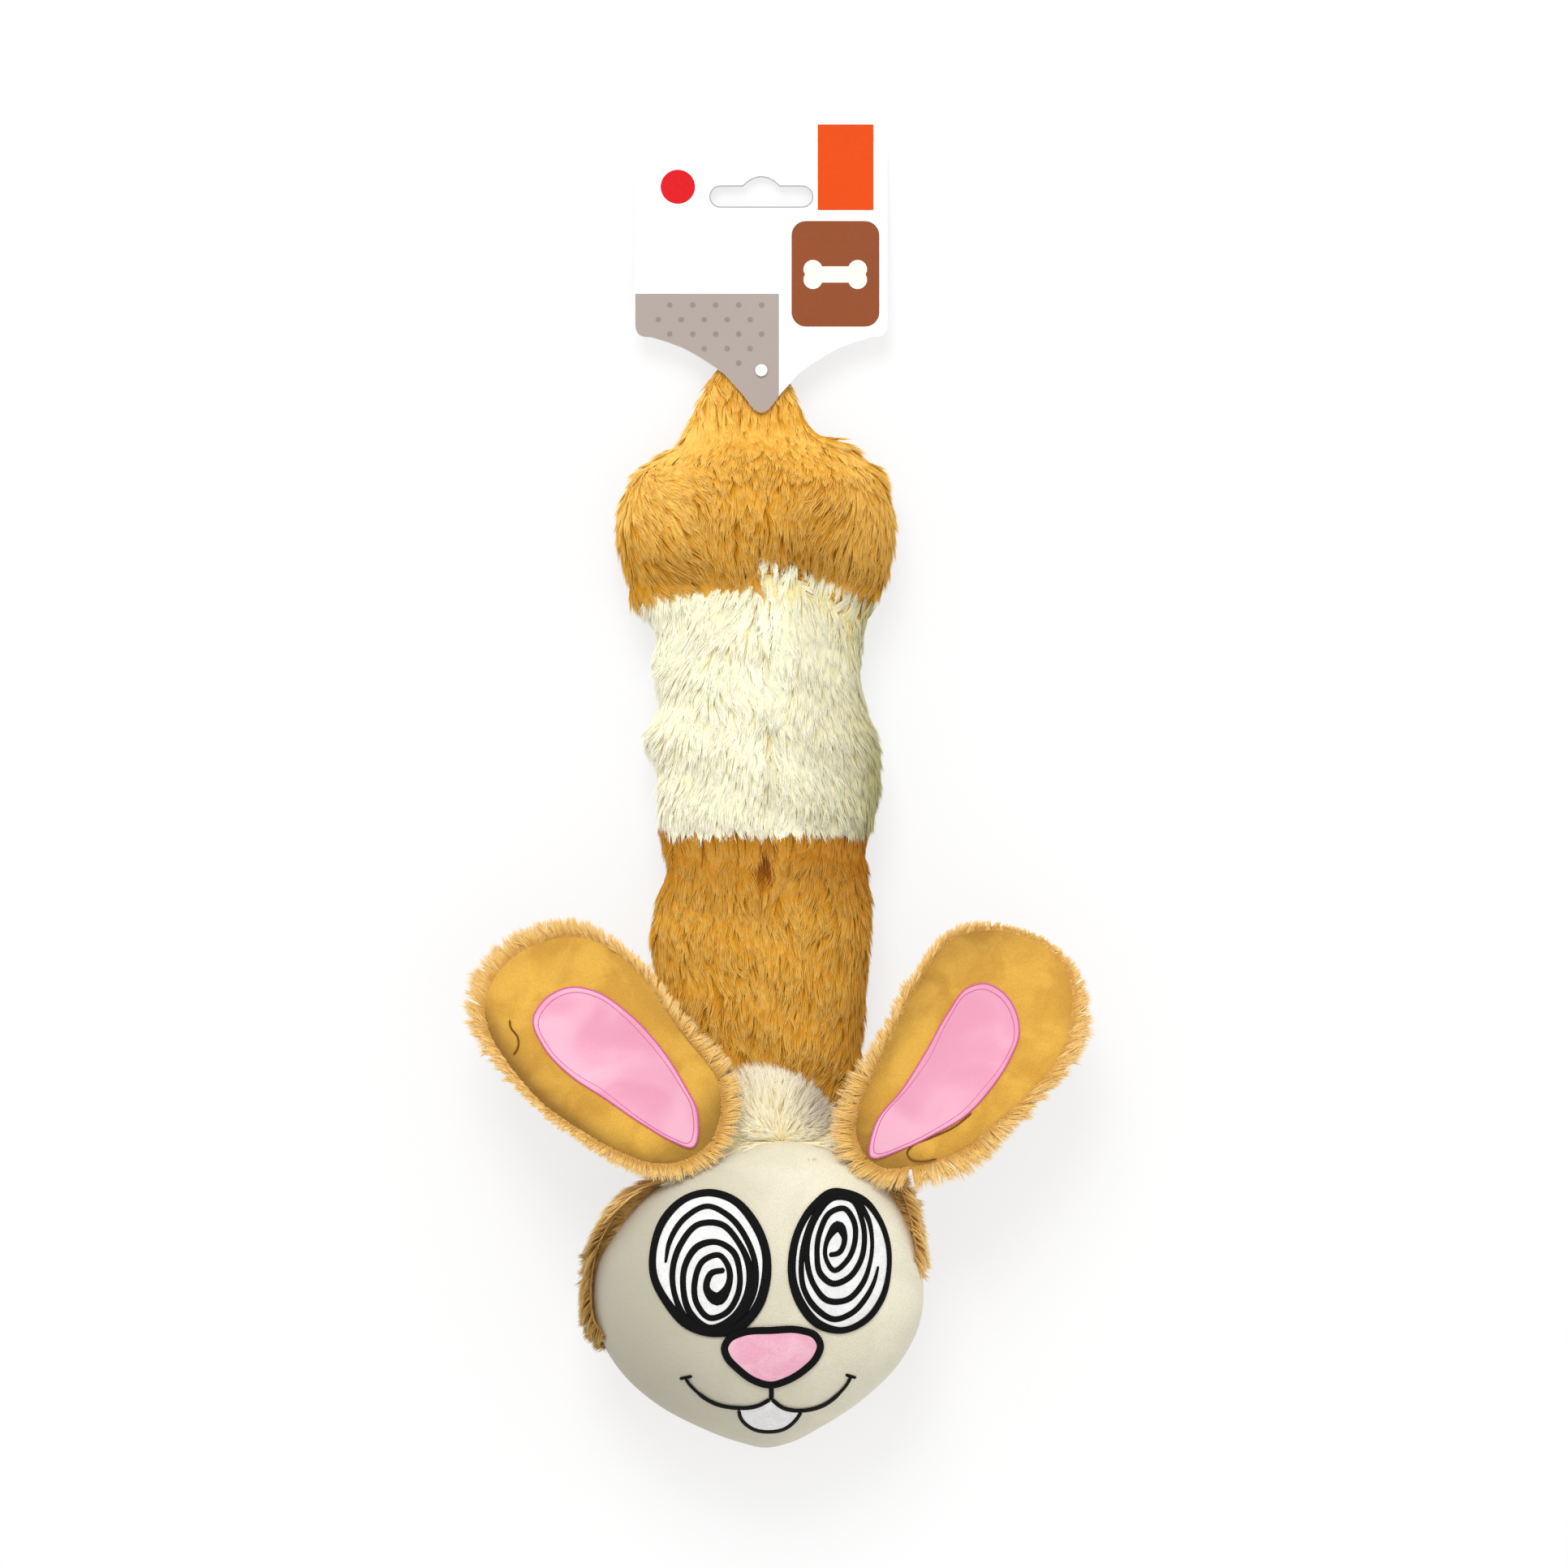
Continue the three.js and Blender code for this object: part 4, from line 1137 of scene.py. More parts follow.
def joined(forms):
    """Several closed forms as one."""
    whole = bmesh.new()
    for form in forms:
        held = mesh_of("part", form)
        whole.from_mesh(held)
        bpy.data.meshes.remove(held)
    return whole


def eased(share):
    """Rings that draw together towards an edge."""
    return np.sin(share * math.pi / 2)


def patch(outline, place, thickness, middle=None, around=64, rings=7):
    """A thin piece of cloth cut to a closed outline and laid on a surface."""
    outline = np.array(outline, float)
    middle = outline.mean(0) if middle is None else np.array(middle, float)
    edge = closed_curve(outline)

    def spot(turn, share):
        return (middle + (edge(turn) - middle) * eased(share)[:, None]).T

    def top(turn, share):
        x, y = spot(turn, share)
        return place(x, y, CLOTH_GAP + thickness * (1 - eased(share) ** 20) ** 0.5)

    def bottom(turn, share):
        x, y = spot(turn, share)
        return place(x, y, CLOTH_GAP)

    return pillow(top, bottom, around, rings)


# Each eye's edge and its spiral, from its outer end inwards: x, y and the stroke's width.
EYES = {
    "left": {
        "edge": (
            (-16.1, -23, 2.3), (-8.9, -25.1, 2.5), (-2.2, -32.3, 2.8), (1.3, -40.7, 2.7),
            (1.5, -49.8, 3), (-1.3, -58.7, 3.1), (-7.9, -65.3, 3.1), (-15.5, -66.6, 2.7),
            (-22.7, -64.1, 3.1), (-29.4, -57.1, 2.6), (-33.5, -48.9, 2.4), (-33.5, -40, 2.2),
            (-30, -30.9, 2.5), (-23.1, -24.6, 2.2),
        ),
        "spiral": (
            (-29.9, -45.2, 0.8), (-28.6, -38.4, 1.6), (-23.8, -30.9, 1.8), (-16.7, -27.2, 1.7),
            (-10.3, -30.1, 1.9), (-4.4, -37.7, 1.9), (-1.8, -45.7, 1.9), (-2.5, -53.8, 2.4),
            (-7, -60.9, 3.3), (-14.2, -65.6, 2.2), (-22.4, -63.1, 2.2), (-26.9, -54.9, 1.8),
            (-27.6, -47, 1.9), (-25.1, -39.1, 2), (-19.6, -32.9, 1.9), (-12.5, -32.8, 2),
            (-6.8, -38.8, 1.9), (-3.6, -46.7, 2.3), (-4.4, -55.3, 2.6), (-9, -62.1, 2.3),
            (-16.1, -65, 1.9), (-22.1, -60.4, 2.1), (-24.3, -52.7, 1.9), (-23.5, -45.1, 2),
            (-19.6, -39.6, 2.2), (-14.2, -38.3, 1.9), (-8.7, -41.4, 2), (-6.7, -47.9, 1.8),
            (-7.3, -54.7, 1.9), (-11.1, -60.5, 1.9), (-16, -62, 1.9), (-20.1, -57.4, 1.9),
            (-20.6, -50.1, 1.9), (-18, -44.1, 1.9), (-13.1, -42.4, 1.8), (-10, -46.7, 1.9),
            (-10.4, -52.3, 2.4), (-13.7, -56.1, 4.2), (-16.9, -53.3, 2.4), (-15.6, -48.1, 2),
            (-11.1, -47, 1.7),
        ),
    },
    "right": {
        "edge": (
            (25.3, -23, 2.5), (32, -25.4, 2.2), (36.7, -31.1, 1.8), (39.4, -38.3, 1.7),
            (39.8, -47.5, 1.6), (37.6, -56.1, 2), (32.4, -62.9, 2.1), (25.3, -65.9, 2.1),
            (18.2, -64.1, 2.8), (12.7, -58, 2.9), (9.8, -50, 2.6), (9.8, -42, 2.5), (11.9, -34.1, 2.3),
            (16.7, -26.9, 2.5), (22.9, -22.9, 2.8),
        ),
        "spiral": (
            (36.6, -45.7, 0.7), (35.3, -50.6, 1.3), (32.7, -55.7, 1.7), (28.1, -60.6, 1.8),
            (22.7, -62.4, 1.9), (17.5, -59.4, 2), (13.4, -53.1, 1.8), (12.5, -45.4, 1.7),
            (13.8, -37.5, 1.9), (17.2, -29.7, 2.2), (22.3, -24.4, 2.5), (28.7, -24.9, 2.1),
            (33, -30.4, 1.7), (34.6, -38, 1.3), (33.8, -45.5, 1.4), (31.4, -51.7, 1.8),
            (26.6, -56.4, 1.9), (20.6, -56.5, 2), (16.5, -51.8, 1.8), (14.4, -44.8, 1.8),
            (14.6, -37.1, 2), (17.5, -29.7, 2.1), (22.3, -24.7, 1.8), (28.4, -25.4, 1.8),
            (31.4, -31.4, 1.7), (32.2, -38.3, 1.7), (30.7, -44.9, 1.8), (26.9, -49.8, 1.9),
            (22.3, -51.3, 2), (18.6, -48.4, 2), (17.4, -42, 1.7), (18.4, -34.9, 1.8), (21.8, -29, 1.8),
            (25.8, -27.9, 1.8), (28.8, -31.7, 1.8), (29.3, -37.7, 1.7), (26.9, -44, 1.7),
            (22.7, -47.2, 1.7), (20.1, -43.2, 1.4), (20.9, -37.1, 1.8), (24.1, -33.4, 3.4),
            (26, -37.1, 1.9), (24.1, -41.8, 1.7), (20.9, -42.4, 1.5),
        ),
    },
}


def make_eye(label):
    eye = EYES[label]
    white = patch([row[:2] for row in eye["edge"]], on_face, EYE_CLOTH, around=96, rings=10)
    white = piece(f"eye_{label}_cloth", white, WHITE_CLOTH)
    fit_piece(white, f"eye_{label}")

    def above(x, y, lift):
        return on_face(x, y, lift + EYE_CLOTH)

    edge = closed_curve(eye["edge"])(np.linspace(0, 1, 121))
    spiral = curve_through(eye["spiral"], 360)
    forms = [
        ribbon(edge[:, :2], edge[:, 2], 0.5, above, 8, True, 140),
        ribbon(spiral[:, :2], spiral[:, 2], 0.45, above, 8, False, 420),
    ]
    fit_piece(piece(f"eye_{label}_stitching", joined(forms), BLACK_THREAD))


NOSE_EDGE = (
    (-12.6, -71.3), (-10.9, -68.1), (-6.9, -66.2), (3.1, -65.3), (13.1, -65.3), (17.8, -67),
    (19.6, -70.3), (18.4, -74.2), (14.1, -78.8), (8.1, -82.4), (3.1, -83.8), (-2.6, -82.3),
    (-8.3, -78.1), (-11.6, -74.5),
)
SMILE_LEFT = (
    (3.1, -87.4), (-1.2, -89.7), (-8.3, -90.3), (-14.7, -88.9), (-20.4, -85), (-23.4, -81.4),
    (-23.9, -80.2),
)
SMILE_RIGHT = (
    (3.1, -87.4), (6.6, -90.2), (13, -91.2), (19.5, -89.6), (24.5, -85.7), (27.7, -81.3),
    (28.2, -79.9),
)
TICK_LEFT = ((-25.6, -81.2), (-21.4, -80.3))
TICK_RIGHT = ((26.2, -79.9), (29.8, -81))
LIP_LINE = ((3.1, -83), (3.2, -85.5), (3.1, -87.8))
TOOTH_EDGE = (
    (-7.1, -90.7), (-2.6, -89.9), (3.1, -88.2), (7.4, -90.6), (12.7, -91.1), (10.9, -93.8),
    (7.4, -96.8), (2.4, -97.8), (-2.6, -97), (-6.2, -94.1),
)
TOOTH_LINE = (
    (-7.1, -90.7), (-6.4, -93.6), (-2.8, -97), (2.4, -98), (7.5, -97), (11, -94), (12.7, -91.2),
)


def curve_through(points, steps=40):
    """A smooth line through a few measured points."""
    points = np.array(points, float)
    lengths = np.r_[0, np.cumsum(np.hypot(*np.diff(points[:, :2], axis=0).T))]
    run = np.linspace(0, lengths[-1], steps)
    ways = [smooth_rows(np.c_[lengths, column], False) for column in points.T]
    return np.stack([way(run) for way in ways], axis=-1)


def make_features():
    nose = piece("nose_cloth", patch(NOSE_EDGE, on_face, NOSE_CLOTH, around=72), PINK_CLOTH)
    fit_piece(nose, "nose")
    edge = closed_curve(NOSE_EDGE)(np.linspace(0, 1, 91))
    middle = edge[:-1].mean(0)
    rim = middle + (edge - middle) * NOSE_RIM
    rim = ribbon(rim, 2.3, 0.55, lambda x, y, z: on_face(x, y, z + 0.6), 8, True)
    fit_piece(piece("nose_stitching", rim, BLACK_THREAD))

    tooth = piece("teeth_cloth", patch(TOOTH_EDGE, on_face, TOOTH_CLOTH, around=56), WHITE_CLOTH)
    fit_piece(tooth, "teeth")

    def on_velour(x, y, z):
        return on_face(x, y, z + 0.1)

    def over_cloth(x, y, z):
        return on_face(x, y, z + 0.4)

    # The smile's thread thins towards the cheeks.
    smile_width = (1.3,) * 30 + (1.0,) * 10
    forms = [
        ribbon(curve_through(LIP_LINE), 1.5, 0.5, on_velour),
        ribbon(curve_through(SMILE_LEFT), smile_width, 0.5, over_cloth),
        ribbon(curve_through(SMILE_RIGHT), smile_width, 0.5, over_cloth),
        ribbon(TICK_LEFT, 1.0, 0.5, on_velour),
        ribbon(TICK_RIGHT, 1.0, 0.5, on_velour),
        ribbon(curve_through(TOOTH_LINE), 1.15, 0.45, over_cloth),
    ]
    mouth = piece("mouth_stitching", joined(forms), BLACK_THREAD)
    fit_piece(mouth, "mouth")


# Ears

# Each ear from its root: the edge of its velour front, how far its fringe shows in each direction,
# the edge of its satin leaf, and a tack of brown thread with its width and height.
EARS = {
    "left": {
        "root": (-20, -8),
        "heading": 136,
        "front": (
            (-3.5, -4), (0.8, -13), (7.2, -18.7), (16.6, -21.1), (25.1, -21.9), (34.8, -23.9),
            (44.6, -26.2), (54.3, -26.9), (61.2, -26.1), (67.5, -24.3), (73.4, -20.6), (78, -15),
            (81.9, -7.2), (83.3, 3), (81.2, 11.6), (77, 17.4), (70.9, 21.1), (62.4, 23.4),
            (53.3, 24.9), (43.5, 25.3), (33.7, 23.9), (23.9, 21.7), (14, 18.6), (5, 14.4), (-2, 6),
        ),
        "fringe": (
            (-180, 4.6), (-155, 5.5), (-120, 3.6), (-60, 3.4), (-25, 5), (0, 5.2), (20, 6), (50, 4),
            (90, 2.4), (120, 2.2), (150, 3.4), (180, 4.6),
        ),
        "leaf": (
            (0.4, 1.9), (6.7, -7.1), (15.9, -10.6), (31, -14), (45.7, -14.3), (56, -12.2),
            (62.6, -7.6), (65.6, 0), (64, 7.6), (56, 11.4), (43.4, 12.1), (31.5, 9.9), (15.2, 7),
            (6, 4.6),
        ),
        "inner_side": -1,
        "curl": 1.0,
        "tack": ((69.3, 12.6), (67.4, 14.2), (63.4, 15), (61.3, 17), (60.5, 20.1)),
        "tack_size": (0.6, 0.25),
    },
    "right": {
        "root": (38, -14),
        "heading": 50,
        "front": (
            (-3, 5), (0.4, 12.6), (8, 17.3), (17.1, 20.2), (27.8, 23.2), (37.1, 25.6), (45.4, 27.6),
            (53.3, 28.9), (61, 30), (69.2, 28.8), (76.8, 23.4), (82.8, 14.4), (85.8, 5.2),
            (85, -3.4), (80.4, -11), (74.1, -16), (67.2, -20), (59.2, -22), (50.2, -22.3),
            (40, -21), (28.5, -18.8), (18.4, -16.8), (10.6, -12.6), (3.6, -7.2), (-2.4, -0.6),
        ),
        "fringe": (
            (-180, 5.5), (-160, 7), (-120, 5.6), (-60, 5.4), (-32, 5.8), (-12, 2.6), (0, 0.6),
            (20, 0.2), (40, 1.4), (60, 2.8), (90, 3.4), (120, 3.6), (145, 6), (165, 7), (180, 5.5),
        ),
        "leaf": (
            (-1, 4.2), (7.6, 9.6), (21.2, 10.2), (34.6, 12), (49.8, 14.7), (58.8, 15), (63.6, 11.5),
            (65, 5.5), (63, -1.4), (58.4, -6.6), (50.6, -9.4), (39.2, -10.8), (28.2, -10.2),
            (16.9, -6.2), (7.4, -1.8),
        ),
        "inner_side": 1,
        "curl": 0.45,
        "tack": (
            (30, -11.2), (23.3, -9.8), (15.9, -6.4), (9.6, -3.4), (7.3, -3.6), (6.6, -5.8),
            (8.2, -8.8), (12, -12),
        ),
        "tack_size": (0.55, 0.2),
    },
}


def ear_way(ear):
    """The direction that an ear points in, in plan."""
    angle = math.radians(ear["heading"])
    return math.cos(angle), math.sin(angle)


def ear_place(ear, u, v, layer):
    """A point of an ear: u along it from its root, v across it, layer up from its middle."""
    c, s = ear_way(ear)
    inner = v * ear["inner_side"]
    bend = -EAR_DROOP * (np.clip(u, 0, None) / EAR_LENGTH) ** 2 + EAR_CUP * (v / EAR_HALF_WIDTH) ** 2
    crease = -0.9 * hill(inner, -17.5 + 0.05 * u, 2.2) * hill(u, 22, 13)
    crease = crease - 0.8 * hill(inner, 19, 3) * smooth_step(2, 20, u) * smooth_step(70, 40, u)
    x, y = ear["root"][0] + u * c - v * s, ear["root"][1] + u * s + v * c
    return stack(x, y, EAR_HINGE + layer + bend + crease)


def ear_comb(ear, lengthwise, outward):
    """Pile on an ear runs to its tip and out from its middle."""
    way = np.array(ear_way(ear))
    middle = ear_place(ear, EAR_MIDDLE[0], EAR_MIDDLE[1], 0.0)[:2]

    def comb(points):
        flat = lengthwise * way + outward * unit(points[:, :2] - middle)
        return stack(flat[:, 0], flat[:, 1], 0)

    return comb


def shade_velour(front, ear):
    """Painted shade on the velour: darker at the ear's root, round its rim, and where the ear curls away
    at one side.
    """
    spots = np.empty(len(front.data.vertices) * 3)
    front.data.vertices.foreach_get("co", spots)
    spots = spots.reshape(-1, 3)[:, :2] - np.array(TO_FRAME.translation)[:2]
    spots = spots / MM - ear["root"]
    c, s = ear_way(ear)
    u, v = spots @ (c, s), spots @ (-s, c)
    away = np.stack((u, v), axis=-1) - EAR_MIDDLE
    share = np.hypot(*away.T) / outline_round(ear["front"], EAR_MIDDLE)(np.arctan2(*away.T[::-1]))
    rim = smooth_step(0.72, 1.0, share)
    side = smooth_step(8, 24, v) * ear["curl"]
    shade = rim * (0.12 + 0.65 * side) + 0.4 * side + 0.7 * smooth_step(14, 0, u)
    store = front.data.attributes.new("cloth_shade", "FLOAT", "POINT")
    store.data.foreach_set("value", np.clip(shade, 0, 1).astype(np.float32))


def make_ear(label):
    ear = EARS[label]
    edge = closed_curve(ear["front"])

    def spot(turn, share, spare=0.0):
        away = edge(turn) - EAR_MIDDLE
        away = away + unit(away) * np.asarray(spare)[..., None]
        return (EAR_MIDDLE + away * np.asarray(share)[..., None]).T

    def top(turn, share):
        lift = EAR_VELOUR_LEVEL + EAR_VELOUR * (1 - eased(share) ** 12) ** 0.5
        return ear_place(ear, *spot(turn, eased(share)), lift)

    def bottom(turn, share):
        return ear_place(ear, *spot(turn, eased(share)), EAR_VELOUR_LEVEL)

    def sew_on(made, node=None):
        way = Vector((*ear_way(ear), 0))
        root = Vector((*ear["root"], EAR_HINGE))
        first, last = in_frame(*(root - way * 5)), in_frame(*(root + way * 9))
        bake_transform(made)
        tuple(first)
        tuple(last)
        if node:
            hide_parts(node)

    front = piece(f"ear_{label}_velour", pillow(top, bottom, 112, 18), TAN_VELOUR)
    shade_velour(front, ear)
    sew_on(front, f"ear_{label}_front")

    # Plush back, its pile hanging under the ear and standing out round its rim
    def under(around, along):
        return ear_place(ear, *spot(around, 0.88 * np.sqrt(np.clip(along, 0, 1))), 0.3)

    def rim(around, along):
        return ear_place(ear, *spot(around, 1.0, -2.0 + 2.0 * along), 2.3 + 1.1 * along)

    def back_top(turn, share):
        return ear_place(ear, *spot(turn, share, -0.4), 1.4)

    def back_bottom(turn, share):
        return ear_place(ear, *spot(turn, share, -0.4), 1.4 - 1.1 * (1 - share**9) ** 0.5)

    def above(points):
        return points + (0, 0, 10)

    outward = ear_comb(ear, 0.0, 1.0)
    fringe = smooth_rows(ear["fringe"])
    hub = ear_place(ear, EAR_MIDDLE[0], EAR_MIDDLE[1], 0.0)

    def fringe_length(points):
        away = points[:, :2] - hub[:2]
        turn = np.degrees(np.arctan2(away[:, 1], away[:, 0]) - math.radians(ear["heading"]))
        return fringe((turn + 180) % 360 - 180) + 1.4

    seed = len(label)
    piles = [
        Pile(under, above, 4600, ear_comb(ear, 1.0, 0.2), 91 + seed, EAR_PILE, lift=(30, 2)),
        Pile(
            rim, above, 6000, ear_comb(ear, 0.7, 1.0), 97 + seed, fringe_length, FRINGE_WIDTH,
            lift=(26, -4), per_lock=9, pull=0.4, spread=13,
            out=lambda root, out: outward(root) * 0.2 + (0, 0, 1.0),
        ),
    ]
    backing = pillow(back_top, back_bottom, 96, 10, "OFBake")
    back = coat(f"ear_{label}_plush", backing, piles, EAR_PLUSH)
    sew_on(back, f"ear_{label}_back")

    def on_ear(u, v, lift):
        return ear_place(ear, u, v, EAR_FACE + lift)

    leaf = patch(ear["leaf"], on_ear, 0.32, LEAF_MIDDLE, 120, 14)
    sew_on(piece(f"ear_{label}_satin", leaf, SATIN), f"ear_{label}_inner")
    leaf_edge = closed_curve(ear["leaf"])(np.linspace(0, 1, 181))

    def leaf_line(inset):
        return leaf_edge - unit(leaf_edge - LEAF_MIDDLE) * inset

    forms = [
        ribbon(leaf_line(0.1), 0.5, 0.42, on_ear, 8, True, 180),
        ribbon(leaf_line(1.9), 0.26, 0.2, lambda u, v, z: on_ear(u, v, z + 0.36), 6, True, 180),
    ]
    sew_on(piece(f"ear_{label}_stitching", joined(forms), PINK_THREAD))
    tack = ribbon(curve_through(ear["tack"]), *ear["tack_size"], on_ear)
    fit_piece(piece(f"ear_{label}_tack", tack, BROWN_THREAD), body=f"ear_{label}")


# Forehead tuft

TUFT_CROWN = (6.5, -4.0)
TUFT_MIDDLE = (4.2, 1.2)
TUFT_HALF = (15.2, 8.4)
TUFT_TOP = 46.0
TUFT_DOME = 3.5
TUFT_DEPTH = 5
TUFT_WIDTH = 0.36
BROW_WIDTH = 0.3
BROW_LEVEL = 41.6


def tuft_point(turn, share, lift):
    angle = TURN * turn
    rise = share * np.sin(angle)
    x = TUFT_MIDDLE[0] + TUFT_HALF[0] * share * np.cos(angle) * (1 - 0.25 * rise) - 3.0 * rise
    y = TUFT_MIDDLE[1] + TUFT_HALF[1] * rise
    slope = 1.2 * smooth_step(8, -10, y)
    return stack(x, y, TUFT_TOP - TUFT_DEPTH + slope + lift * (1 - share**2.5) ** 0.5)


def make_tuft():
    def top(turn, share):
        return tuft_point(turn, share, TUFT_DOME)

    def bottom(turn, share):
        return tuft_point(turn, share, -TUFT_DEPTH)

    def grown(around, along):
        return tuft_point(around, np.sqrt(np.clip(along, 0, 0.98)), TUFT_DOME)

    def below(points):
        return points - (0, 0, 10)

    def back_comb(points):
        x, y = (points[:, :2] - TUFT_CROWN).T
        rise = y + 4 + 3 * smooth_step(-1, 5, y)
        return unit(stack(x, rise, 0)) - (0, 0, 0.15)

    def tuft_length(points):
        x, y = points[:, :2].T
        return mix(3.4, 10.8, smooth_step(-7, 5, y)) * mix(1, 0.75, smooth_step(4, 16, x))

    def tuft_shade(points):
        # Painted shade: greyer on the tuft's right side and in a patch at its upper left.
        x, y = points[:, :2].T
        return 0.75 * smooth_step(6, 15, x) * smooth_step(-8, 0, y) + 0.4 * hill(x, -7, 4) * hill(y, 9, 5)

    # Shorter strands of the brow, which hide the seam between the tuft and the face
    def brow(around, along):
        angle = mix(math.radians(55), math.radians(125), around)
        beside = smooth_step(0.07, 0.16, around) * smooth_step(0.82, 0.68, around)
        x, y = round_head(face_reach(angle) * mix(1.01 + 0.08 * beside, 0.962, along), angle)
        return stack(x, y, np.maximum(face_height(x, y) - 0.2, BROW_LEVEL))

    def brow_comb(points):
        x, y = (points[:, :2] - TUFT_CROWN).T
        return unit(stack(x, 0.6 * y + 3.4, 0))

    def brow_length(points):
        return mix(3.6, 8.0, smooth_step(3, 16, np.abs(points[:, 0] - TUFT_CROWN[0])))

    piles = [
        Pile(
            grown, below, 5600, back_comb, 131, tuft_length, TUFT_WIDTH,
            lift=(22, 2), swirl=30, shade=tuft_shade,
        ),
        Pile(brow, below, 4400, brow_comb, 137, brow_length, BROW_WIDTH, lift=(14, -2), swirl=20),
    ]
    made = coat("forehead_tuft_pile", pillow(top, bottom, 48, 8, "OFBake"), piles, TUFT_PLUSH)
    fit_piece(made, "forehead_tuft")


# Wadding


def wadding_tube(name, start, end, body, node, seed):
    """Wadding that fills a band, rounded at both ends."""

    def place(turn, along):
        y = mix(start, end, along)
        close = np.sqrt(np.clip(1 - np.abs(2 * along - 1) ** 6, 0, 1))
        around = np.where(turn < 0.5, 2 * turn, 2 - 2 * turn)
        right, left = body_point(1, y, around, WADDING_INSET), body_point(-1, y, around, WADDING_INSET)
        points = np.where((turn < 0.5)[:, None], right, left)
        core = body_core(points)
        points = core + (points - core) * close[:, None]
        rough = 1 + 0.03 * lumps(points, 0.12, seed)
        return core + (points - core) * rough[:, None]

    made = piece(name, warped_grid(56, 26, place, None), WADDING)
    fit_piece(made, node, body)


def make_wadding():
    wadding_tube("front_wadding", 3, FRONT_SEAM - 1.5, "front", "front_stuffing", 3.1)
    wadding_tube("middle_wadding", FRONT_SEAM + 1.5, REAR_SEAM - 8, "middle", "middle_stuffing", 5.3)
    wadding_tube("rear_wadding", REAR_SEAM + 5.5, 222, "rear", "rear_stuffing", 7.7)
    low, high = (TO_FRAME.inverted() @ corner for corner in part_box("squeaker_bulb"))
    hub = (low + high) / 2
    hollow = (high.x - low.x) / 2 + SQUEAKER_GAP

    def place_in_head(turn, share):
        angle = TURN * turn
        return round_head((face_reach(angle) - HEAD_WADDING_INSET) * share, angle)

    def at_squeaker(x, y):
        return smooth_step(hollow + 5, hollow, np.hypot(x - hub.x, y - hub.y))

    def front_top(turn, share):
        x, y = place_in_head(turn, share)
        return stack(x, y, mix(head_equator(y) - 1, face_height(x, y) - FACE_INSET, (1 - share**4) ** 0.5))

    def front_bottom(turn, share):
        x, y, top = front_top(turn, share).T
        level = mix(head_equator(y) - 1, high.z + SQUEAKER_GAP, at_squeaker(x, y))
        return stack(x, y, np.minimum(level, top))

    def back_top(turn, share):
        x, y = place_in_head(turn, share)
        return stack(x, y, mix(head_equator(y) - 2, low.z - SQUEAKER_GAP, at_squeaker(x, y)))

    def back_bottom(turn, share):
        x, y, top = back_top(turn, share).T
        return stack(x, y, np.minimum(mix(top, WADDING_LOW, (1 - share**4) ** 0.5), top))

    for label, top, bottom in (("front", front_top, front_bottom), ("back", back_top, back_bottom)):
        made = piece(f"head_wadding_{label}", pillow(top, bottom, 60, 14), WADDING)
        fit_piece(made, f"head_stuffing_{label}")


# Header card

PRINT_LIFT = 0.00006
BAND_TOP = 24.4
BAND_SIDE = 5.5
CARD_HALF = 39.5
# How far the card's lower edge is drawn in, by the distance from its middle
CARD_POINT = (
    (0, 0.2), (2.6, 0.9), (4, 2), (6, 3.2), (7, 3.5), (9.6, 3.4), (12.4, 3.1), (14.6, 2.3),
    (17.9, 1.5), (23.4, 0.9), (28.8, 0.5), (36, 0.6), (39.5, 0),
)
CARD_SHOULDER = 12
DOT_GAP = 7.2
DOT_ROWS = 8
DOT_RADIUS = 0.85
DOT_DROP = 0.64 * DOT_GAP
SLOT_LOW = 50.6
SLOT_HIGH = 63
SLOT_SIDE = 17.4
SLOT_LINE = 0.35
PIN_ROOM = 4
TAB_LOW = 51.0
TAB_LEFT = 17.7
TAB_RIGHT = 35.2
FIELD = (9.5, 37.0, 14.0, 47.5)
FIELD_CORNER = 4.5
BADGE = ((-26.2, 58.4), 5.4)
BONE = ((23.2, 30.5), 7.0, 3.0)
BONE_BAR = 0.55
KNOB_TURN = 0.45


def on_card(spot):
    """How far a point of the frame lies to the side of the card's pin and above it, in millimetres."""
    place = spot - CARD_PIN
    return abs(place.dot(CARD_ACROSS)) / MM, place.dot(CARD_UP) / MM


def card_board():
    """The card from its node, with its lower edge drawn in to a slimmer point."""
    form = bmesh.new()
    form.from_mesh(frame["nodes"]["header_card"].data)
    bmesh.ops.remove_doubles(form, verts=form.verts, dist=0.00001)
    bmesh.ops.dissolve_limit(form, angle_limit=0.002, verts=form.verts, edges=form.edges)
    rise = smooth_rows(CARD_POINT)
    for vert in form.verts:
        side, high = on_card(vert.co)
        if high < 13 and math.hypot(side, high) > PIN_ROOM:
            vert.co += CARD_UP * float(rise(np.array([side]))[0]) * MM
    bmesh.ops.triangulate(form, faces=form.faces[:])
    bmesh.ops.recalc_face_normals(form, faces=form.faces)
    for face in form.faces:
        face.smooth = False
    return form


def card_face():
    """The card's upper face alone."""
    form = card_board()
    gone = [
        face
        for face in form.faces
        if face.normal.dot(CARD_OUT) < 0.9
        or (face.calc_center_median() - CARD_PIN).dot(CARD_OUT) < -0.0001
    ]
    bmesh.ops.delete(form, geom=gone, context="FACES")
    return form


def cut_card(form, keeps):
    """Keeps the part of the card's face on the wanted side of each line."""
    for line, value, side in keeps:
        everything = form.verts[:] + form.edges[:] + form.faces[:]
        spot = CARD_PIN + line * value * MM
        bmesh.ops.bisect_plane(
            form, geom=everything, plane_co=spot, plane_no=line * side, clear_inner=True
        )
    return form


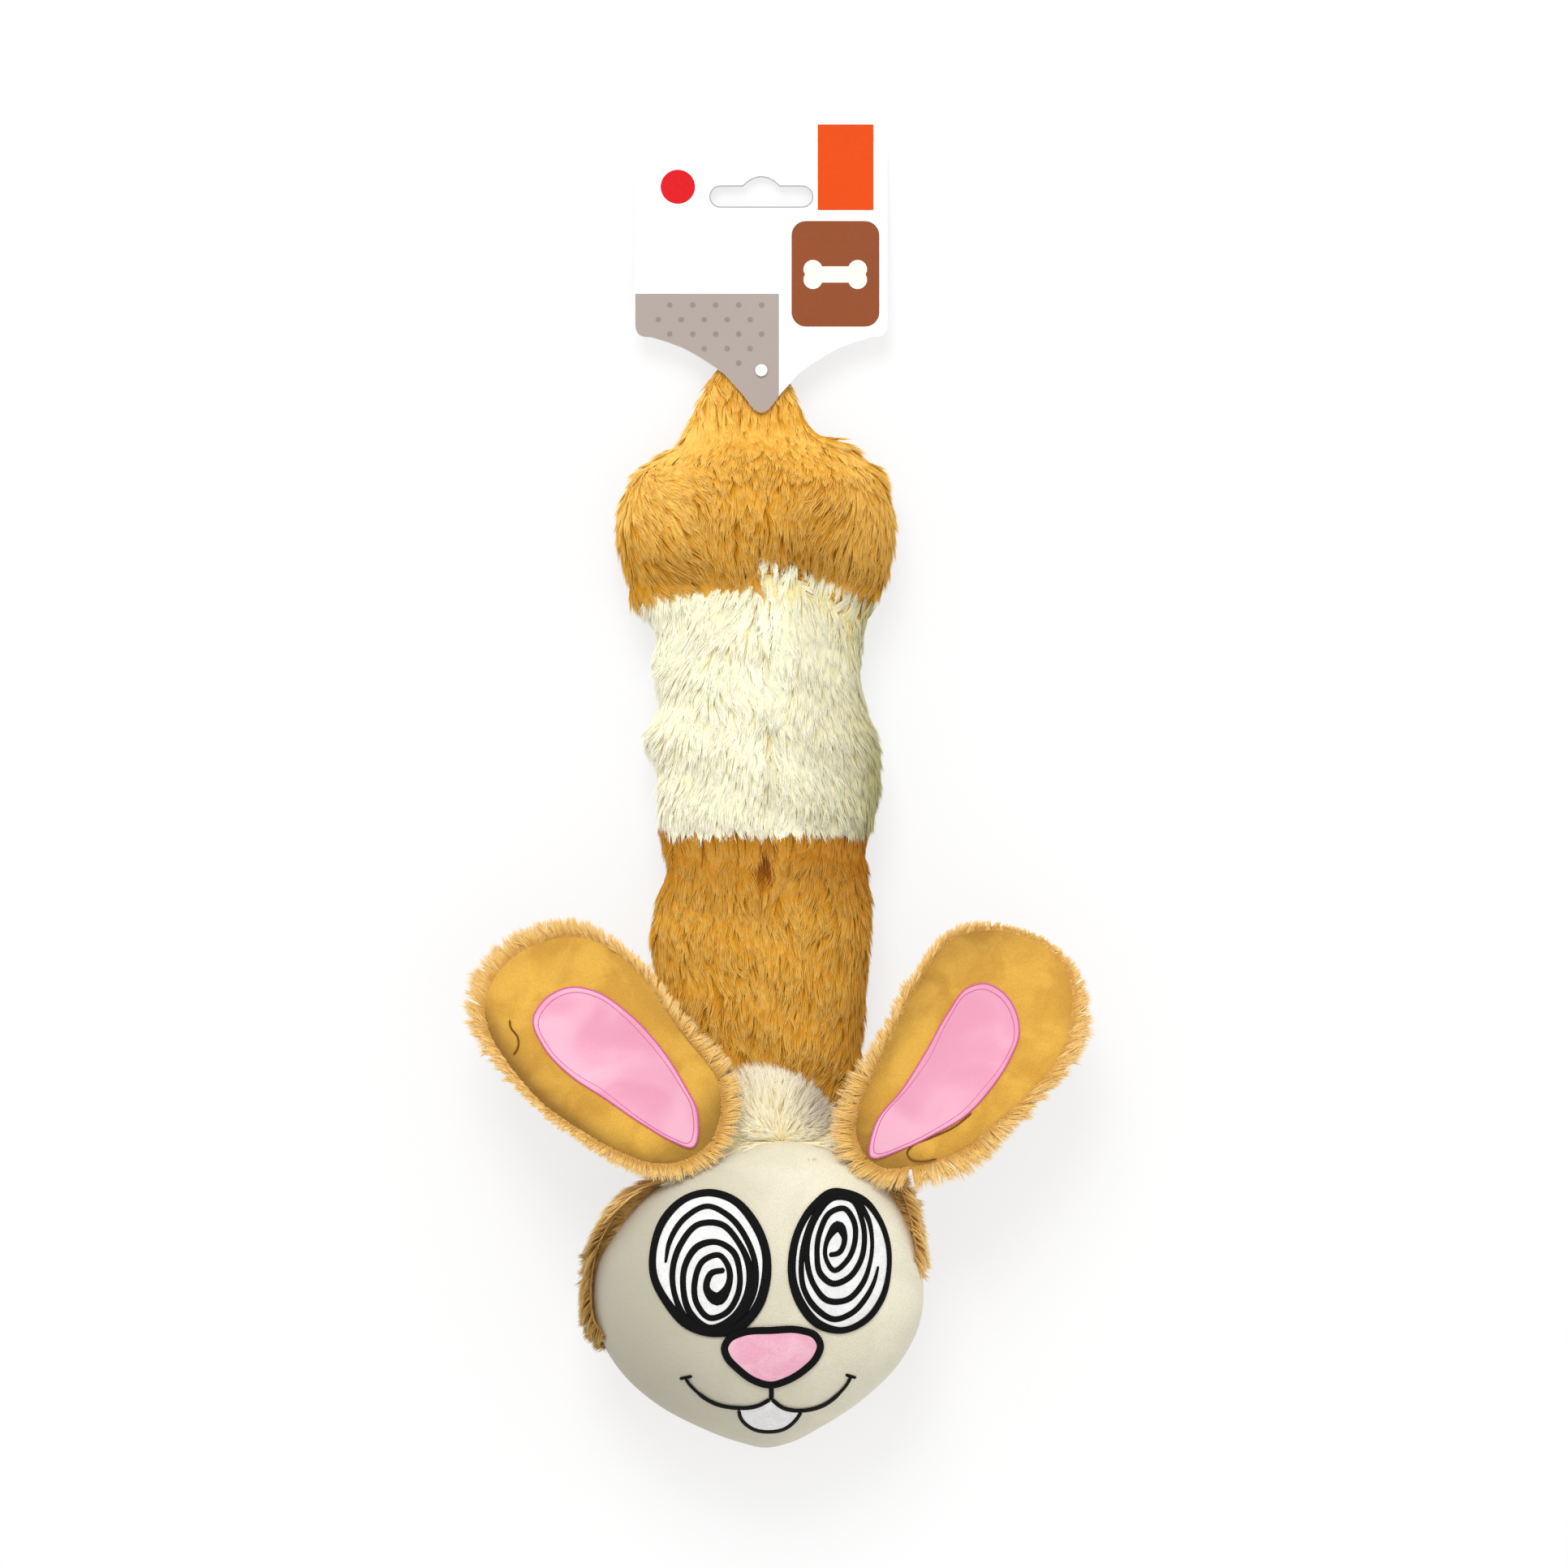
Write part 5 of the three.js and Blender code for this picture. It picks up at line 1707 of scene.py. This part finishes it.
def slot_rim():
    """A thin line round the card's hanging slot."""
    sides = ((CARD_UP, SLOT_LOW, 1), (CARD_UP, SLOT_HIGH, -1))
    sides += ((CARD_ACROSS, -SLOT_SIDE, 1), (CARD_ACROSS, SLOT_SIDE, -1))
    form = cut_card(card_face(), sides)
    bmesh.ops.dissolve_limit(form, angle_limit=0.01, verts=form.verts, edges=form.edges)
    rim = bmesh.ops.inset_region(
        form, faces=form.faces[:], thickness=SLOT_LINE * MM, use_even_offset=True, use_boundary=True
    )
    near = SLOT_LINE * 1.5

    def round_the_slot(face):
        side, high = on_card(face.calc_center_median())
        return SLOT_LOW + near < high < SLOT_HIGH - near and side < SLOT_SIDE - near

    kept = [face for face in rim["faces"] if round_the_slot(face)]
    gone = [face for face in form.faces if face not in kept]
    bmesh.ops.delete(form, geom=gone, context="FACES")
    return form


def print_layer(name, form, material, step=1):
    """A thin layer of print on the card's face."""
    bmesh.ops.translate(form, verts=form.verts, vec=CARD_OUT * PRINT_LIFT * (0.4 + step))
    grown = bmesh.ops.extrude_face_region(form, geom=form.faces[:])
    raised = [item for item in grown["geom"] if isinstance(item, bmesh.types.BMVert)]
    bmesh.ops.translate(form, verts=raised, vec=CARD_OUT * PRINT_LIFT)
    bmesh.ops.recalc_face_normals(form, faces=form.faces)
    fit_piece(shown(name, mesh_of(name, form), material), body="card")


def flat_shape(outlines):
    """Flat faces on the card from closed outlines in millimetres."""
    form = bmesh.new()
    for outline in outlines:
        spots = [CARD_PIN + (CARD_ACROSS * a + CARD_UP * b) * MM for a, b in outline]
        form.faces.new([form.verts.new(spot) for spot in spots])
    bmesh.ops.recalc_face_normals(form, faces=form.faces)
    for face in form.faces:
        if face.normal.dot(CARD_OUT) < 0:
            face.normal_flip()
    return form


def disc(middle, radius, steps=40):
    turns = [TURN * k / steps for k in range(steps)]
    return [(middle[0] + radius * math.cos(t), middle[1] + radius * math.sin(t)) for t in turns]


def arc(middle, radius, start, sweep, steps):
    """Points on a part of a circle, whose start and sweep are shares of a turn."""
    turns = [TURN * (start + sweep * step / steps) for step in range(steps + 1)]
    return [(middle[0] + radius * math.cos(t), middle[1] + radius * math.sin(t)) for t in turns]


def rounded_box(left, right, low, high, corner, steps=7):
    """A box with round corners, as a closed outline."""
    outline = []
    for x, y, start in (
        (right - corner, high - corner, 0),
        (left + corner, high - corner, 0.25),
        (left + corner, low + corner, 0.5),
        (right - corner, low + corner, 0.75),
    ):
        outline += arc((x, y), corner, start, 0.25, steps)
    return outline


def bone_outline(middle, half, knob, steps=9):
    """A plain bone: a bar with two knobs at each end."""
    outline = []
    notch = math.asin(BONE_BAR) / TURN
    for side_x, side_y, start in (
        (1, 1, -notch),
        (-1, 1, 0.5 - KNOB_TURN),
        (-1, -1, 0.5 - notch),
        (1, -1, 1 - KNOB_TURN),
    ):
        hub = (middle[0] + side_x * half, middle[1] + side_y * knob * BONE_BAR)
        outline += arc(hub, knob, start, KNOB_TURN + notch, steps)
    return outline


def make_card():
    board = shown("header_card_board", mesh_of("header_card_board", card_board()), CARD_WHITE)
    fit_piece(board, "header_card", body="card")
    band = cut_card(card_face(), ((CARD_UP, BAND_TOP, -1), (CARD_ACROSS, BAND_SIDE, -1)))
    print_layer("card_band_print", band, CARD_GREY)
    sides = ((CARD_UP, TAB_LOW, 1), (CARD_ACROSS, TAB_LEFT, 1), (CARD_ACROSS, TAB_RIGHT, -1))
    print_layer("card_tab_print", cut_card(card_face(), sides), CARD_ORANGE)
    print_layer("card_slot_print", slot_rim(), CARD_LINE)
    print_layer("card_field_print", flat_shape([rounded_box(*FIELD, FIELD_CORNER)]), CARD_BROWN)
    print_layer("card_badge_print", flat_shape([disc(*BADGE)]), CARD_RED)
    dots = []
    for row in range(DOT_ROWS):
        high = BAND_TOP - DOT_GAP / 2 - DOT_DROP * row
        left = -CARD_HALF + DOT_GAP / 2 * (1 + row % 2)
        for column in range(DOT_ROWS):
            across = left + DOT_GAP * column
            room = CARD_HALF - DOT_GAP / 2 - 2.6 * max(0.0, CARD_SHOULDER - high)
            on_band = abs(across) < room and across < BAND_SIDE - 2
            if on_band and math.hypot(across, high) > PIN_ROOM:
                dots.append(disc((across, high), DOT_RADIUS, 16))
    print_layer("card_dots_print", flat_shape(dots), CARD_DOT, 2.2)
    print_layer("card_bone_print", flat_shape([bone_outline(*BONE)]), CARD_CREAM, 2.2)


# Carried-over pieces

CARRIED = {"squeaker_bulb": SQUEAKER, "squeaker_plug": SQUEAKER, "squeaker_reed": REED, "tag_pin": NYLON}


def dress_carried():
    """Pieces shown as the frame carries them, in their own finishes."""
    for node, material in CARRIED.items():
        mesh = frame["nodes"][node].data
        mesh.materials.clear()
        mesh.materials.append(material)


# Camera, light and floor

VIEW_MIDDLE = (0.00035, 0.0007)
VIEW_WIDTH = 0.4907
VIEW_LEVEL = 0.026
LENS = 600
SENSOR = 36
LAMP_AIM = Vector((0, 0, 0.02))


def make_camera():
    view = bpy.data.cameras.new("camera")
    view.lens = LENS
    view.sensor_width = SENSOR
    view.clip_end = 50
    camera = bpy.data.objects.new("camera", view)
    camera.location = (*VIEW_MIDDLE, VIEW_LEVEL + VIEW_WIDTH * LENS / SENSOR)
    bpy.context.scene.collection.objects.link(camera)
    bpy.context.scene.camera = camera


def make_lamp(name, place, size, watts):
    lamp = bpy.data.lights.new(name, "AREA")
    lamp.shape = "DISK"
    lamp.size = size
    lamp.energy = watts
    holder = bpy.data.objects.new(name, lamp)
    holder.location = place
    holder.rotation_euler = (LAMP_AIM - Vector(place)).to_track_quat("-Z", "Y").to_euler()
    bpy.context.scene.collection.objects.link(holder)


def make_stage():
    world = bpy.data.worlds.new("studio")
    bpy.context.scene.world = world
    world.use_nodes = True
    tree = world.node_tree
    back = tree.nodes["Background"]
    back.inputs["Color"].default_value = (1, 1, 1, 1)
    rays = put(tree, "ShaderNodeLightPath").outputs
    inputs = {0: rays["Is Camera Ray"], 1: rays["Is Glossy Ray"]}
    seen = put(tree, "ShaderNodeMath", inputs, operation="MAXIMUM")
    tree.links.new(remap(tree, seen.outputs[0], 0, 1, 0.74, 1.0, False), back.inputs["Strength"])

    make_lamp("key_lamp", (-0.3, 1.7, 2.3), 1.4, 44.0)
    make_lamp("fill_lamp", (0.9, -0.6, 2.2), 1.5, 3.0)

    finish, tree, plain = finish_of("pale_floor", 0.9, 0.0)
    plain.inputs["Base Color"].default_value = (0.9, 0.9, 0.9, 1)
    glow = put(tree, "ShaderNodeEmission", {"Color": (1, 1, 1, 1), "Strength": 1.0})
    rays = put(tree, "ShaderNodeLightPath").outputs
    share = remap(tree, rays["Is Camera Ray"], 0, 1, 0.0, 0.72, False)
    inputs = {0: share, 1: plain.outputs["BSDF"], 2: glow.outputs["Emission"]}
    both = put(tree, "ShaderNodeMixShader", inputs)
    tree.links.new(both.outputs[0], tree.nodes["Material Output"].inputs["Surface"])
    form = bmesh.new()
    bmesh.ops.create_grid(form, x_segments=4, y_segments=4, size=4.0)
    shown("floor", mesh_of("floor", form), finish)
    bpy.context.scene.view_settings.view_transform = "Standard"


make_camera()
make_stage()
make_bands()
make_head()
for eye_label in EYES:
    make_eye(eye_label)
make_features()
for ear_label in EARS:
    make_ear(ear_label)
make_tuft()
make_wadding()
make_card()
dress_carried()
